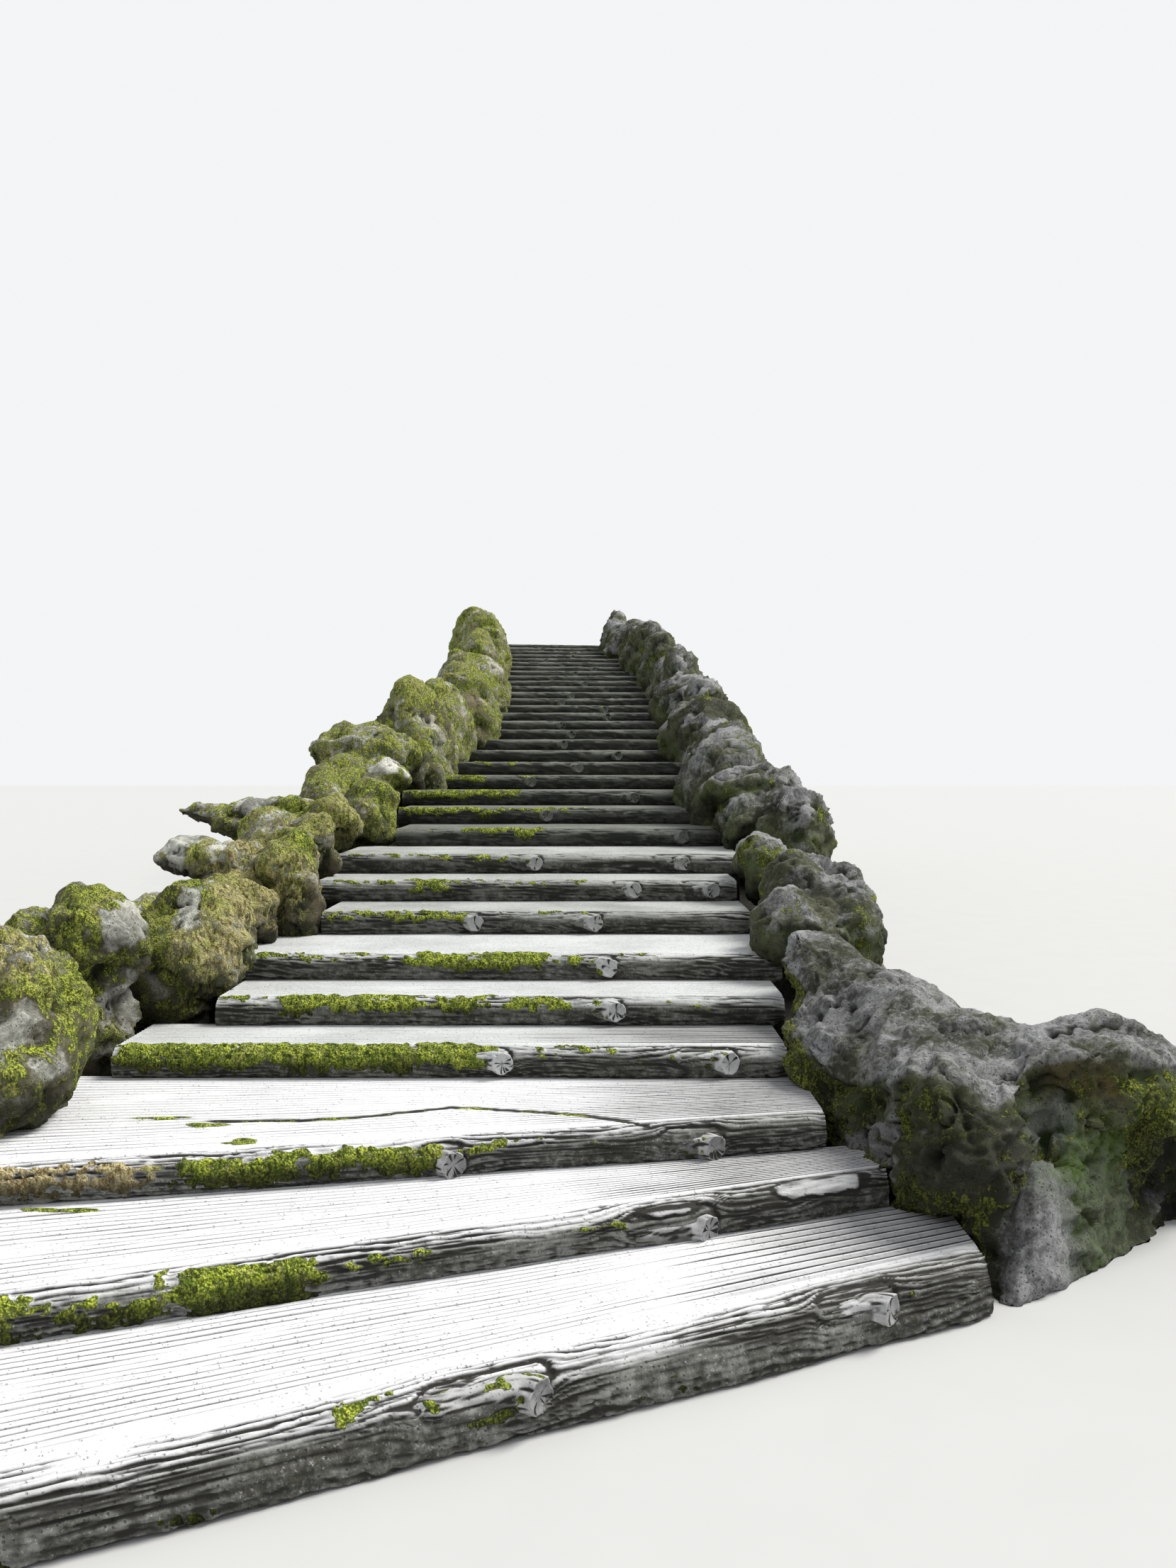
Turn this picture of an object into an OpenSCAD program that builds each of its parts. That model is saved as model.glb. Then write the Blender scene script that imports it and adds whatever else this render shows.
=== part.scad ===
// Outdoor steps in cement rustic work. Each step is cast as a log with a tread behind it,
// and boulders of modelled rockwork line both sides of the flight.
// Millimetres. X runs across the flight, Y uphill and Z up. The origin is on the ground
// at the foot of the flight, under the middle of the first step.

/* [Flight] */
// Rise of the first step above the path
first_rise = 150; // [130:5:170]
// Rise of every other step
rise = 118; // [110:1:125]
// Depth of a tread in the upper flight
upper_going = 632; // [600:2:660]
// Width of the upper flight to the left of its middle line
upper_left = 1180; // [1100:10:1300]
// Width of the upper flight to the right of its middle line
upper_right = 940; // [850:10:1000]
// Turn of each upper step against the one below it, in degrees
bend = 0.5; // [0:0.1:0.8]

/* [Logs] */
// Radius of the log at the front of the first step
first_log_r = 84; // [80:1:95]
// Radius of the log at the front of every other step
log_r = 70; // [64:1:80]
// How far behind the front of the log the joint with the tread below lies
seat = 45; // [35:1:60]
// Radius of a cut branch stub
stub_r = 44; // [36:1:50]

/* [Rubble bed] */
// Depth of the bed's top under the nose of the fourth step
bed_depth = 260; // [220:10:300]
// Left face of the bed beside the lower boulders
bed_left = -2550; // [-2700:10:-2400]
// Right face of the bed beside the lower boulders
bed_right = 1600; // [1500:10:1800]
// Width of the bed beyond each side of the upper flight
bed_margin = 620; // [500:10:700]
// Depth of the landing behind the last nose
landing = 700; // [600:10:900]

/* [Hidden] */
step_count = 33;
fan_count = 3;
// How far behind the fourth step's front joint the bed starts
bed_lip = 60;
straight_count = 17;
// Tread depths of the lower flight along its middle line, from the first step up
goings = [675, 480, 750, 460, 480, 760, 560, 510, 820, 780, 690, 690, 660, 670, 660, 640];
// Front of the first step where it crosses the middle line
first_y = -115;
// Turn of the fanned steps against the straight ones
fan_turn = [26.8, 22, 12.5];
// Left and right ends of the lower steps
left_ends = [-2500, -2350, -2100, -1900, -1620, -1700, -1420, -1560, -1550, -1310, -1410, -1480, -1320,
    -1210, -1180, -1180, -1180];
right_ends = [1200, 1010, 850, 800, 860, 920, 870, 860, 940, 905, 840, 850, 920, 960, 960, 950, 940];
// Branch stubs: step, distance of the cut end from the middle line, length
stubs = [[1, -120, 310], [1, 850, 240], [2, 400, 300], [3, -400, 110], [3, 500, 190], [4, -340, 210],
    [4, 565, 200], [5, 124, 230], [6, 100, 150], [7, -600, 110], [7, 40, 170], [8, 270, 120], [8, 720, 170],
    [9, -320, 110], [9, 590, 180], [10, 650, 190], [11, -300, 110], [12, 370, 230], [13, -480, 110],
    [14, -80, 130], [15, 290, 220], [16, -240, 120]];
upper_stub = 140;
upper_stub_spread = 350;
// How far a stub's axis lies in front of the log's, how far its other end sinks, and its drop under the tread
stub_out = 46;
stub_sink = 30;
stub_drop = 5;
// Flats that the log's round front is cast with, and the room that is cut free in front of it
log_facets = 12;
log_room = 30;

// Boulders: space left to the steps, and the facets of a lump
rock_gap = 2;
lump_sides = 16;
lump_rings = 8;
left_upper_y = 7260;
right_upper_y = 5930;
// For each boulder of a border: where it starts and ends uphill, and the first and last step that it meets
left_rock_spans = [[-2000, 780, 1, 3], [780, 1690, 2, 4], [1690, 2280, 3, 5], [2280, 3480, 4, 7],
    [3480, 4150, 6, 9], [4150, 5250, 7, 10], [5250, 7250, 8, 13]];
right_rock_spans = [[2550, 4500, 5, 9], [4500, 5920, 8, 11]];
// The lumps that each boulder is modelled from: middle x, y, z and half width, depth and height
left_lumps = [
    [[-2720, -1100, 160, 430, 520, 400], [-2660, -150, 260, 420, 560, 430], [-2560, 500, 320, 360, 360, 420]],
    [[-2160, 1220, 620, 330, 360, 420], [-2300, 1080, 340, 340, 340, 360], [-1990, 1120, 580, 200, 220, 180]],
    [[-2090, 2130, 900, 200, 240, 220], [-2060, 2100, 580, 130, 200, 240], [-2340, 2100, 660, 260, 300, 360]],
    [[-1840, 2520, 760, 190, 260, 300], [-1700, 2600, 760, 110, 220, 200], [-2020, 2660, 680, 220, 260, 340],
        [-1800, 3240, 890, 210, 260, 160], [-1680, 3220, 860, 100, 180, 120], [-1800, 2900, 780, 160, 280, 280],
        [-2050, 3150, 620, 260, 340, 280]],
    [[-2050, 3780, 1120, 330, 200, 110], [-1620, 3680, 1090, 160, 220, 180], [-1550, 3520, 880, 120, 160, 200],
        [-1950, 3750, 820, 280, 280, 300]],
    [[-1660, 4380, 1160, 170, 240, 190], [-2120, 5050, 1300, 360, 200, 130], [-1640, 4780, 1270, 180, 260, 180],
        [-1900, 4550, 1000, 300, 360, 340], [-2000, 5050, 1050, 300, 260, 300], [-2420, 5080, 1330, 240, 130, 70]],
    [[-1500, 5620, 1320, 170, 260, 240], [-1540, 6150, 1540, 190, 300, 150], [-1800, 6000, 1460, 280, 240, 130],
        [-1850, 5900, 1200, 300, 500, 360], [-1780, 7000, 1740, 450, 320, 240], [-1850, 6700, 1400, 320, 520, 340]]];
right_lumps = [
    [[1000, 2950, 800, 190, 340, 200], [1140, 3550, 900, 240, 420, 260], [1040, 4200, 1040, 170, 380, 190],
        [1280, 3600, 740, 300, 800, 360]],
    [[1160, 5620, 1460, 350, 340, 200], [1020, 5250, 1240, 150, 340, 200], [1280, 5250, 1140, 300, 700, 360]]];
// The large rock at the foot hangs over the ends of the steps. It is modelled from ribs, and each rib runs round
// the rock: ridge, top, edge, four points of the face, foot, and three of the back
ribs = [
    [[1040, 2530, 820], [990, 2520, 800], [955, 2510, 740], [960, 2500, 660], [985, 2500, 560], [1000, 2500, 440],
        [1010, 2500, 300], [1020, 2500, -30], [1240, 2540, -30], [1230, 2540, 550], [1130, 2540, 770]],
    [[960, 2400, 885], [910, 2350, 865], [872, 2330, 785], [890, 2330, 700], [930, 2330, 620], [940, 2330, 480],
        [940, 2330, 250], [940, 2330, -30], [1300, 2420, -30], [1300, 2440, 560], [1130, 2440, 820]],
    [[1060, 2120, 830], [975, 2090, 765], [905, 2060, 695], [885, 2040, 630], [870, 2030, 560], [880, 2020, 460],
        [880, 2020, 200], [880, 2020, -30], [1400, 2200, -30], [1400, 2200, 560], [1230, 2180, 780]],
    [[1120, 1960, 815], [960, 1880, 690], [840, 1880, 605], [805, 1840, 525], [800, 1760, 462], [830, 1720, 420],
        [850, 1720, 200], [850, 1720, -30], [1500, 2050, -30], [1500, 2050, 540], [1310, 2030, 760]],
    [[1190, 1840, 775], [1010, 1640, 650], [905, 1560, 500], [890, 1550, 430], [875, 1540, 370], [875, 1530, 300],
        [890, 1530, 100], [900, 1530, -30], [1600, 1900, -30], [1590, 1900, 500], [1400, 1890, 720]],
    [[1275, 1690, 760], [1110, 1460, 665], [995, 1310, 515], [980, 1280, 420], [968, 1260, 325], [960, 1230, 265],
        [980, 1230, 100], [1000, 1230, -30], [1650, 1850, -30], [1640, 1850, 420], [1440, 1790, 690]],
    [[1305, 1560, 718], [1150, 1260, 655], [1050, 1175, 568], [1035, 1130, 458], [1035, 1075, 353], [1027, 1005, 278],
        [1040, 1010, 150], [1080, 1060, -30], [1680, 1780, -30], [1670, 1780, 400], [1480, 1700, 660]],
    [[1370, 1510, 715], [1235, 1210, 663], [1122, 975, 600], [1095, 870, 505], [1072, 830, 378], [1080, 850, 257],
        [1130, 920, 165], [1240, 1060, -30], [1720, 1700, -30], [1700, 1700, 400], [1540, 1630, 660]],
    [[1480, 1450, 696], [1341, 1150, 650], [1212, 875, 615], [1183, 740, 517], [1171, 700, 395], [1186, 750, 257],
        [1240, 860, 155], [1300, 860, -30], [1780, 1640, -30], [1760, 1640, 400], [1630, 1570, 650]],
    [[1512, 1350, 658], [1427, 1150, 602], [1341, 850, 525], [1331, 760, 470], [1321, 720, 345], [1302, 730, 230],
        [1281, 700, 80], [1295, 640, -30], [1830, 1590, -30], [1810, 1590, 400], [1680, 1500, 620]],
    [[1577, 1300, 660], [1530, 1150, 650], [1503, 1050, 625], [1497, 1000, 492], [1510, 980, 394], [1420, 760, 335],
        [1395, 680, 182], [1397, 650, -30], [1880, 1560, -30], [1860, 1560, 400], [1720, 1460, 630]],
    [[1711, 1250, 700], [1654, 1100, 672], [1616, 1000, 647], [1615, 1040, 532], [1597, 950, 412], [1589, 870, 297],
        [1585, 810, 160], [1656, 890, -30], [1930, 1540, -30], [1920, 1540, 420], [1800, 1420, 670]],
    [[1836, 1250, 720], [1775, 1100, 684], [1747, 1030, 652], [1746, 1000, 540], [1758, 1000, 397], [1810, 1080, 230],
        [1848, 1090, 80], [1863, 1078, -30], [1990, 1540, -30], [1990, 1530, 430], [1900, 1410, 690]],
    [[1987, 1250, 665], [1960, 1170, 650], [1945, 1100, 612], [1957, 1100, 466], [1980, 1150, 305], [2040, 1250, 124],
        [2050, 1270, 60], [2055, 1290, -30], [2100, 1530, -30], [2100, 1520, 400], [2040, 1400, 640]],
    [[2170, 1340, 590], [2150, 1290, 580], [2150, 1250, 540], [2160, 1240, 430], [2180, 1260, 300], [2200, 1290, 150],
        [2210, 1300, 60], [2210, 1310, -30], [2230, 1450, -30], [2240, 1450, 350], [2200, 1400, 560]]];
// Smooth steps between two ribs and between two points of a rib, and how far the rock's rounded ends swell
rib_detail = 3;
ring_detail = 2;
end_dome = 50;
large_rock_span = [300, 2550, 1, 6];

function going(i) = i <= len(goings) ? goings[i - 1] : upper_going;
function turn(i) = i <= fan_count ? fan_turn[i - 1] : max(0, i - straight_count) * bend;
function nose_x(i) = i <= straight_count ? 0 : nose_x(i - 1) - going(i - 1) * sin(turn(i - 1));
function nose_y(i) = i == 1 ? first_y : nose_y(i - 1) + going(i - 1) * cos(i <= straight_count ? 0 : turn(i - 1));
function top_z(i) = i == 0 ? 0 : first_rise + (i - 1) * rise;
function radius(i) = i == 1 ? first_log_r : log_r;
function left_x(i) = i <= straight_count ? left_ends[i - 1] : nose_x(i) - upper_left;
function right_x(i) = i <= straight_count ? right_ends[i - 1] : nose_x(i) + upper_right;
// Front of step i at x, moved uphill by back
function line_y(i, x, back) = nose_y(i) + tan(turn(i)) * (x - nose_x(i)) + back / cos(turn(i));
function back_y(i, x) = i < step_count ? line_y(i + 1, x, seat) : line_y(i, x, landing);

bed_front = nose_y(fan_count + 1) + seat + bed_lip;
bed_back = back_y(step_count, nose_x(step_count));
bed_front_z = top_z(fan_count + 1) - bed_depth;
slope = (top_z(step_count) - top_z(fan_count + 1)) / (nose_y(step_count) - nose_y(fan_count + 1));
function bed_z(y) = bed_front_z + slope * (y - bed_front);
bed_split_1 = nose_y(10) + seat;
bed_split_2 = nose_y(straight_count + 1) + seat;
far = 30000;

// Outline of step i in plan, from in front of its log to the joint with the next step
module plan(i) {
    polygon([[left_x(i), line_y(i, left_x(i), -log_room)], [right_x(i), line_y(i, right_x(i), -log_room)],
        [right_x(i), back_y(i, right_x(i))], [left_x(i), back_y(i, left_x(i))]]);
}

// Everything above the sloping top of the bed, or above the path below the bed
module above_bed() {
    rotate([90, 0, 90])
        translate([0, 0, -far / 2])
            linear_extrude(far)
                polygon([[-far, 0], [bed_front, 0], [bed_front, bed_front_z], [far, bed_z(far)], [far, far],
                    [-far, far]]);
}

// Outline of step i across the flight: v is the distance behind its front and z the height. The log's round
// front lies on the tread below, and the block behind it runs down to the ground and on uphill.
function step_outline(i) = let(r = radius(i), below = top_z(i - 1), last = asin((top_z(i) - below - r) / r)) concat(
    [for (n = [0 : log_facets]) let(a = 90 - (90 + last) * n / log_facets) [r - r * cos(a), top_z(i) - r + r * sin(a)]],
    [[seat, below], [seat, -log_room], [far / 2, -log_room], [far / 2, top_z(i)]]);

// The log and the tread behind it, cast in one
module casting(i) {
    intersection() {
        translate([nose_x(i), nose_y(i), 0])
            rotate([0, 0, turn(i)])
                rotate([90, 0, 90])
                    translate([0, 0, -far / 2])
                        linear_extrude(far)
                            polygon(step_outline(i));
        translate([0, 0, -log_room])
            linear_extrude(far)
                plan(i);
        above_bed();
    }
}

// A cut branch stub that lies along the log and rises out of it to its right, cut end
module stub(i, x, length) {
    r = radius(i);
    dip = atan(stub_sink / length);
    translate([nose_x(i), nose_y(i), top_z(i) - r])
        rotate([0, 0, turn(i)])
            translate([x, r - stub_out, r - stub_r - stub_drop])
                rotate([0, -90 - dip, 0])
                    rotate([-dip, 0, 0])
                        cylinder(h = length, r = stub_r, $fn = 32);
}

module step(i) {
    color(i < 14 ? "gainsboro" : "dimgray") {
        casting(i);
        for (s = stubs)
            if (s[0] == i)
                stub(i, s[1], s[2]);
        if (i >= straight_count)
            stub(i, upper_stub_spread * sin(97 * i), upper_stub);
    }
}

function edge(i, side, margin) = side < 0 ? left_x(i) - margin : right_x(i) + margin;

// One length of the rubble bed between two straight cuts across the flight
module bed(y0, y1, outline) {
    color("slategray")
        intersection() {
            rotate([90, 0, 90])
                translate([0, 0, -far / 2])
                    linear_extrude(far)
                        polygon([[y0, 0], [y1, 0], [y1, bed_z(y1)], [y0, bed_z(y0)]]);
            linear_extrude(far)
                polygon(outline);
        }
}

// Sideways shift of the flight's edge between a step's nose line and y, where the flight turns
function line_shift(i, y) = -(y - nose_y(i)) * tan(turn(i));

module bed_lower() {
    bed(bed_front, bed_split_1, [[bed_left, bed_front], [bed_right, bed_front], [bed_right, bed_split_1],
        [bed_left, bed_split_1]]);
}

module bed_middle() {
    bed(bed_split_1, bed_split_2, [[bed_left, bed_split_1], [bed_right, bed_split_1],
        [upper_right + bed_margin, bed_split_2], [-upper_left - bed_margin, bed_split_2]]);
}

module bed_upper() {
    last = step_count;
    bed(bed_split_2, bed_back + 400, concat(
        [for (i = [straight_count + 1 : 5 : last]) [edge(i, -1, bed_margin), line_y(i, edge(i, -1, bed_margin), seat)]],
        [[edge(last, -1, bed_margin), back_y(last, edge(last, -1, bed_margin))],
            [edge(last, 1, bed_margin), back_y(last, edge(last, 1, bed_margin))]],
        [for (i = [last : -5 : straight_count + 1]) [edge(i, 1, bed_margin), line_y(i, edge(i, 1, bed_margin), seat)]]));
}

// Shape of one boulder lump: middle, half sizes and a number that varies its dents
function dent(d, k) = 1 + 0.07 * sin(150 * d[0] + 120 * d[2] + 71 * k) + 0.06 * sin(190 * d[1] - 150 * d[0] + 37 * k)
    + 0.05 * sin(260 * d[2] + 210 * d[1] + 113 * k);
function lump_point(l, k, u, v) = let(d = [sin(v) * cos(u), sin(v) * sin(u), cos(v)], s = dent(d, k))
    [l[0] + l[3] * d[0] * s, l[1] + l[4] * d[1] * s, l[2] + l[5] * d[2] * s];

module lump(l, k) {
    last = lump_sides * (lump_rings - 1);
    points = concat(
        [for (j = [1 : lump_rings - 1]) for (n = [0 : lump_sides - 1])
            lump_point(l, k, 360 * n / lump_sides, 180 * j / lump_rings)],
        [lump_point(l, k, 0, 0), lump_point(l, k, 0, 180)]);
    sides = [for (j = [0 : lump_rings - 3]) for (n = [0 : lump_sides - 1])
        let(a = j * lump_sides + n, b = j * lump_sides + (n + 1) % lump_sides)
        each [[a, b, b + lump_sides], [a, b + lump_sides, a + lump_sides]]];
    caps = [for (n = [0 : lump_sides - 1])
        let(m = (n + 1) % lump_sides, low = lump_sides * (lump_rings - 2))
        each [[last, m, n], [last + 1, low + n, low + m]]];
    polyhedron(points, concat(sides, caps));
}

// Room that a step and its log take, which the boulders are built around
module step_room(i) {
    translate([0, 0, -10])
        linear_extrude(top_z(i) + 10 + rock_gap)
            polygon([[left_x(i) - rock_gap, line_y(i, left_x(i), -rock_gap)],
                [right_x(i) + rock_gap, line_y(i, right_x(i), -rock_gap)],
                [right_x(i) + rock_gap, back_y(i, right_x(i))], [left_x(i) - rock_gap, back_y(i, left_x(i))]]);
}

// Smooth curve from b to c at share t, with a before and d after them
function between(a, b, c, d, t) = (2 * b + (c - a) * t + (2 * a - 5 * b + 4 * c - d) * t * t
    + (3 * b - a - 3 * c + d) * t * t * t) / 2;
function rib_point(n, j) = ribs[max(0, min(len(ribs) - 1, n))][(j + len(ribs[0])) % len(ribs[0])];
function round_rib(n, j, t) = between(rib_point(n, j - 1), rib_point(n, j), rib_point(n, j + 1), rib_point(n, j + 2), t);
function skin(n, s, j, t) = between(round_rib(n - 1, j, t), round_rib(n, j, t), round_rib(n + 1, j, t),
    round_rib(n + 2, j, t), s);
function middle(points) = [for (axis = [0 : 2]) [for (p = points) p[axis]] * [for (p = points) 1] / len(points)];

// The large rock's whole surface, through all its ribs
module large_rock_skin() {
    wide = len(ribs[0]) * ring_detail;
    rows = (len(ribs) - 1) * rib_detail;
    grid = [for (row = [0 : rows]) [for (n = [0 : wide - 1])
        skin(min(floor(row / rib_detail), len(ribs) - 2), row == rows ? 1 : row % rib_detail / rib_detail,
            floor(n / ring_detail), n % ring_detail / ring_detail)]];
    first = middle(grid[0]);
    last = middle(grid[rows]);
    tips = [first + [0, end_dome, 0], last + [end_dome, 0, 0]];
    total = (rows + 1) * wide;
    sides = [for (row = [0 : rows - 1]) for (n = [0 : wide - 1])
        let(a = row * wide + n, b = row * wide + (n + 1) % wide)
        each [[a, b + wide, b], [a, a + wide, b + wide]]];
    ends = [for (n = [0 : wide - 1]) let(m = (n + 1) % wide)
        each [[n, m, total], [rows * wide + m, rows * wide + n, total + 1]]];
    polyhedron(concat([for (row = grid) each row], tips), concat(sides, ends));
}

// A boulder between two straight cuts, seated on the bed and beside the steps that its span names
module seated(span, tone) {
    color(tone)
        difference() {
            intersection() {
                children();
                translate([-far / 2, span[0], 0])
                    cube([far, span[1] - span[0], far]);
                above_bed();
            }
            for (i = [span[2] : span[3]])
                step_room(i);
        }
}

// A boulder that is modelled from lumps
module boulder(lumps, span, tone) {
    seated(span, tone)
        union() {
            for (k = [0 : len(lumps) - 1])
                lump(lumps[k], k + span[0]);
        }
}

module left_rock(n) {
    boulder(left_lumps[n - 1], left_rock_spans[n - 1], "darkolivegreen");
}

module large_rock() {
    seated(large_rock_span, "darkgray")
        large_rock_skin();
}

module right_rock(n) {
    boulder(right_lumps[n - 2], right_rock_spans[n - 2], "darkgray");
}

// The step whose tread lies beside y in the upper flight
function step_at(y) = len([for (i = [1 : step_count]) if (nose_y(i) < y) i]);

// The small boulders that follow the flight uphill, side is -1 or 1
module upper_rocks(side, y0, count, pitch, proud) {
    for (k = [0 : count - 1]) {
        y = y0 + (k + 0.5) * pitch;
        i = step_at(y);
        x = edge(i, side, 210 + 60 * sin(140 * k)) + line_shift(i, y);
        boulder([[x, y, bed_z(y) + 300, 340 + 90 * sin(205 * k), pitch * (0.62 + 0.12 * sin(130 * k)),
            proud + 120 * sin(160 * k + 40)]],
            [y0 + k * pitch + rock_gap, y0 + (k + 1) * pitch - rock_gap, max(1, i - 3), min(step_count, i + 3)],
            "dimgray");
    }
}

module left_rocks_upper() {
    upper_rocks(-1, left_upper_y, 12, 1080, 620);
}

module right_rocks_upper() {
    upper_rocks(1, right_upper_y, 13, 1105, 520);
}

for (i = [1 : step_count])
    step(i);
bed_lower();
bed_middle();
bed_upper();
left_rock(1);  // left_rock_1
left_rock(2);  // left_rock_2
left_rock(3);  // left_rock_3
left_rock(4);  // left_rock_4
left_rock(5);  // left_rock_5
left_rock(6);  // left_rock_6
left_rock(7);  // left_rock_7
left_rocks_upper();
large_rock();  // right_rock_1
right_rock(2);  // right_rock_2
right_rock(3);  // right_rock_3
right_rocks_upper();
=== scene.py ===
import bpy
import numpy as np
from mathutils import Euler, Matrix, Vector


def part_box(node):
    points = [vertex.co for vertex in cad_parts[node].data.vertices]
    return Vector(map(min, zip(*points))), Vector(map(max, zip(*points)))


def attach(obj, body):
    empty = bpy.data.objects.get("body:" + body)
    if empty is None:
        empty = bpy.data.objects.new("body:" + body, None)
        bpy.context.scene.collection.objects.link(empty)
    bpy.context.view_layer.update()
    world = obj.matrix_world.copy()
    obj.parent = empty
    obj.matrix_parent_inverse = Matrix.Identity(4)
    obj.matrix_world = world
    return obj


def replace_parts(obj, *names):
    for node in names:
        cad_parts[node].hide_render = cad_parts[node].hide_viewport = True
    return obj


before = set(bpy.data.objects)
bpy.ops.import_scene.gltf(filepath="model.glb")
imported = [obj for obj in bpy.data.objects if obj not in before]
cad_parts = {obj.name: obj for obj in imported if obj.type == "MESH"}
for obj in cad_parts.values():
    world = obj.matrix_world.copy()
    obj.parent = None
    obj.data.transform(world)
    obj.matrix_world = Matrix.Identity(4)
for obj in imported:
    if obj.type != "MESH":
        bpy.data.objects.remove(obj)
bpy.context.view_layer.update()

# Rubble bed. Rough field stones laid in lime mortar carry the steps and the boulders, from level ground up
# to a sloping top. The CAD bed is the mortar, and each stone is a rounded block a little proud of it.
STEP_COUNT = 33
STRAIGHT_COUNT = 17
FAN_TURNS = [26.8, 22, 12.5]
BEND = 0.5
GOINGS = [0.675, 0.480, 0.750, 0.460, 0.480, 0.760, 0.560, 0.510, 0.820, 0.780, 0.690, 0.690, 0.660, 0.670,
          0.660, 0.640]
UPPER_GOING = 0.632
FIRST_Y = -0.115
SEAT = 0.045
LANDING = 0.700
BED_MARGIN = 0.62
BED_BELOW_TREAD = 0.260
BED_TURNS = range(STRAIGHT_COUNT + 1, STEP_COUNT + 1, 5)
STONE_COURSES = (0.15, 0.25)
STONE_LENGTHS = (0.24, 0.48)
SMALLEST_STONE = (0.09, 0.06)
STONE_PROUD = 0.026
STONE_SUNK = 0.030
STONE_JOINT = 0.022


def step_box(i):
    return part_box("step_%02d" % i)


def going(i):
    return GOINGS[i - 1] if i <= len(GOINGS) else UPPER_GOING


def turn(i):
    """Turn of step i against the straight part, in radians."""
    return np.radians(FAN_TURNS[i - 1] if i <= len(FAN_TURNS) else max(0, i - STRAIGHT_COUNT) * BEND)


# Where the front line of each step crosses the middle line: X across the flight, Y uphill, in metres
NOSE = {1: (0.0, FIRST_Y)}
for i in range(2, STEP_COUNT + 1):
    along = turn(i - 1) if i > STRAIGHT_COUNT + 1 else 0
    NOSE[i] = (NOSE[i - 1][0] - going(i - 1) * np.sin(along), NOSE[i - 1][1] + going(i - 1) * np.cos(along))


def top_z(i):
    return step_box(i)[1].z if i else 0.0


def line_y(i, x, back):
    """Front line of step i at x, moved uphill by back."""
    return NOSE[i][1] + np.tan(turn(i)) * (x - NOSE[i][0]) + back / np.cos(turn(i))


def back_y(i, x):
    """Joint at the back of step i's tread."""
    return line_y(i + 1, x, SEAT) if i < STEP_COUNT else line_y(i, x, LANDING)


bed_low, bed_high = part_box("bed_lower")
BED_FOOT = top_z(4) - BED_BELOW_TREAD
BED_RATE = (bed_high.z - BED_FOOT) / (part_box("bed_middle")[0].y - bed_low.y)


def bed_slope(y):
    """Height of the bed's sloping top at y."""
    return BED_FOOT + BED_RATE * (y - bed_low.y)


def chance(seed, *cells):
    """A number from 0 to 1 for each cell, the same for the same cell and seed."""
    mixed = np.full(np.broadcast(*cells).shape, seed * 7919 + 17, np.uint32)
    for cell in cells:
        mixed = (mixed ^ np.asarray(cell).astype(np.int64).astype(np.uint32)) * np.uint32(0x85EBCA6B)
        mixed = (mixed ^ (mixed >> np.uint32(13))) * np.uint32(0xC2B2AE35)
        mixed = mixed ^ (mixed >> np.uint32(16))
    return mixed / 4294967296.0


def swell(seed, *places):
    """Smooth noise from -1 to 1 over one, two or three coordinates, each given in cells."""
    cells = [np.floor(p).astype(np.int64) for p in places]
    parts = [p - c for p, c in zip(places, cells)]
    eased = [f * f * f * (f * (f * 6 - 15) + 10) for f in parts]
    total = 0.0
    for corner in np.ndindex(*(2,) * len(places)):
        at = [c + o for c, o in zip(cells, corner)]
        weight = 1.0
        lean = 0.0
        for axis, o in enumerate(corner):
            weight = weight * (eased[axis] if o else 1 - eased[axis])
            lean = lean + (parts[axis] - o) * (2 * chance(seed + 31 * axis, *at) - 1)
        total = total + weight * lean
    return np.clip(total * 1.9, -1, 1)


def ease(low, high, value):
    t = np.clip((value - low) / (high - low), 0, 1)
    return t * t * (3 - 2 * t)


def quads_of(ids):
    """The quads of a grid of point numbers."""
    return np.stack([ids[:-1, :-1], ids[1:, :-1], ids[1:, 1:], ids[:-1, 1:]], -1).reshape(-1, 4)


def tube_of(ids):
    """The quads of a grid of point numbers whose last column joins its first."""
    return quads_of(np.hstack([ids, ids[:, :1]]))


def fan_of(rim, hub):
    """Triangles that close a rim with one point, wound against the rim."""
    return np.stack([np.roll(rim, -1), rim, np.full(len(rim), hub)], -1)


def make_piece(name, points, faces, material, slot, marks):
    """A mesh from points, arrays of faces with one row a face, and float marks that the material reads."""
    mesh = bpy.data.meshes.new(name)
    sizes = np.concatenate([np.full(len(f), f.shape[1]) for f in faces])
    corners = np.concatenate([f.ravel() for f in faces]).astype(np.int32)
    mesh.vertices.add(len(points))
    mesh.vertices.foreach_set("co", np.asarray(points, np.float32).ravel())
    mesh.loops.add(len(corners))
    mesh.loops.foreach_set("vertex_index", corners)
    mesh.polygons.add(len(sizes))
    mesh.polygons.foreach_set("loop_start", np.concatenate([[0], np.cumsum(sizes)[:-1]]).astype(np.int32))
    mesh.update(calc_edges=True)
    mesh.polygons.foreach_set("use_smooth", np.ones(len(sizes), bool))
    for mark, values in marks.items():
        layer = mesh.attributes.new(mark, "FLOAT", "POINT")
        layer.data.foreach_set("value", np.asarray(values, np.float32))
    mesh.materials.append(material)
    piece = bpy.data.objects.new(name, mesh)
    bpy.context.scene.collection.objects.link(piece)
    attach(piece, "root")
    return piece


def put(tree, kind, settings=None, **feeds):
    """A shader node with its settings. Each input, by name or as i and its number, gets a value or a feed."""
    made = tree.nodes.new("ShaderNode" + kind)
    for key, value in (settings or {}).items():
        setattr(made, key, value)
    for key, value in feeds.items():
        socket = made.inputs[int(key[1:]) if key[1:].isdigit() else key.replace("_", " ")]
        if isinstance(value, Feed):
            value.into(socket)
        else:
            socket.default_value = value
    return made


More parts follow.
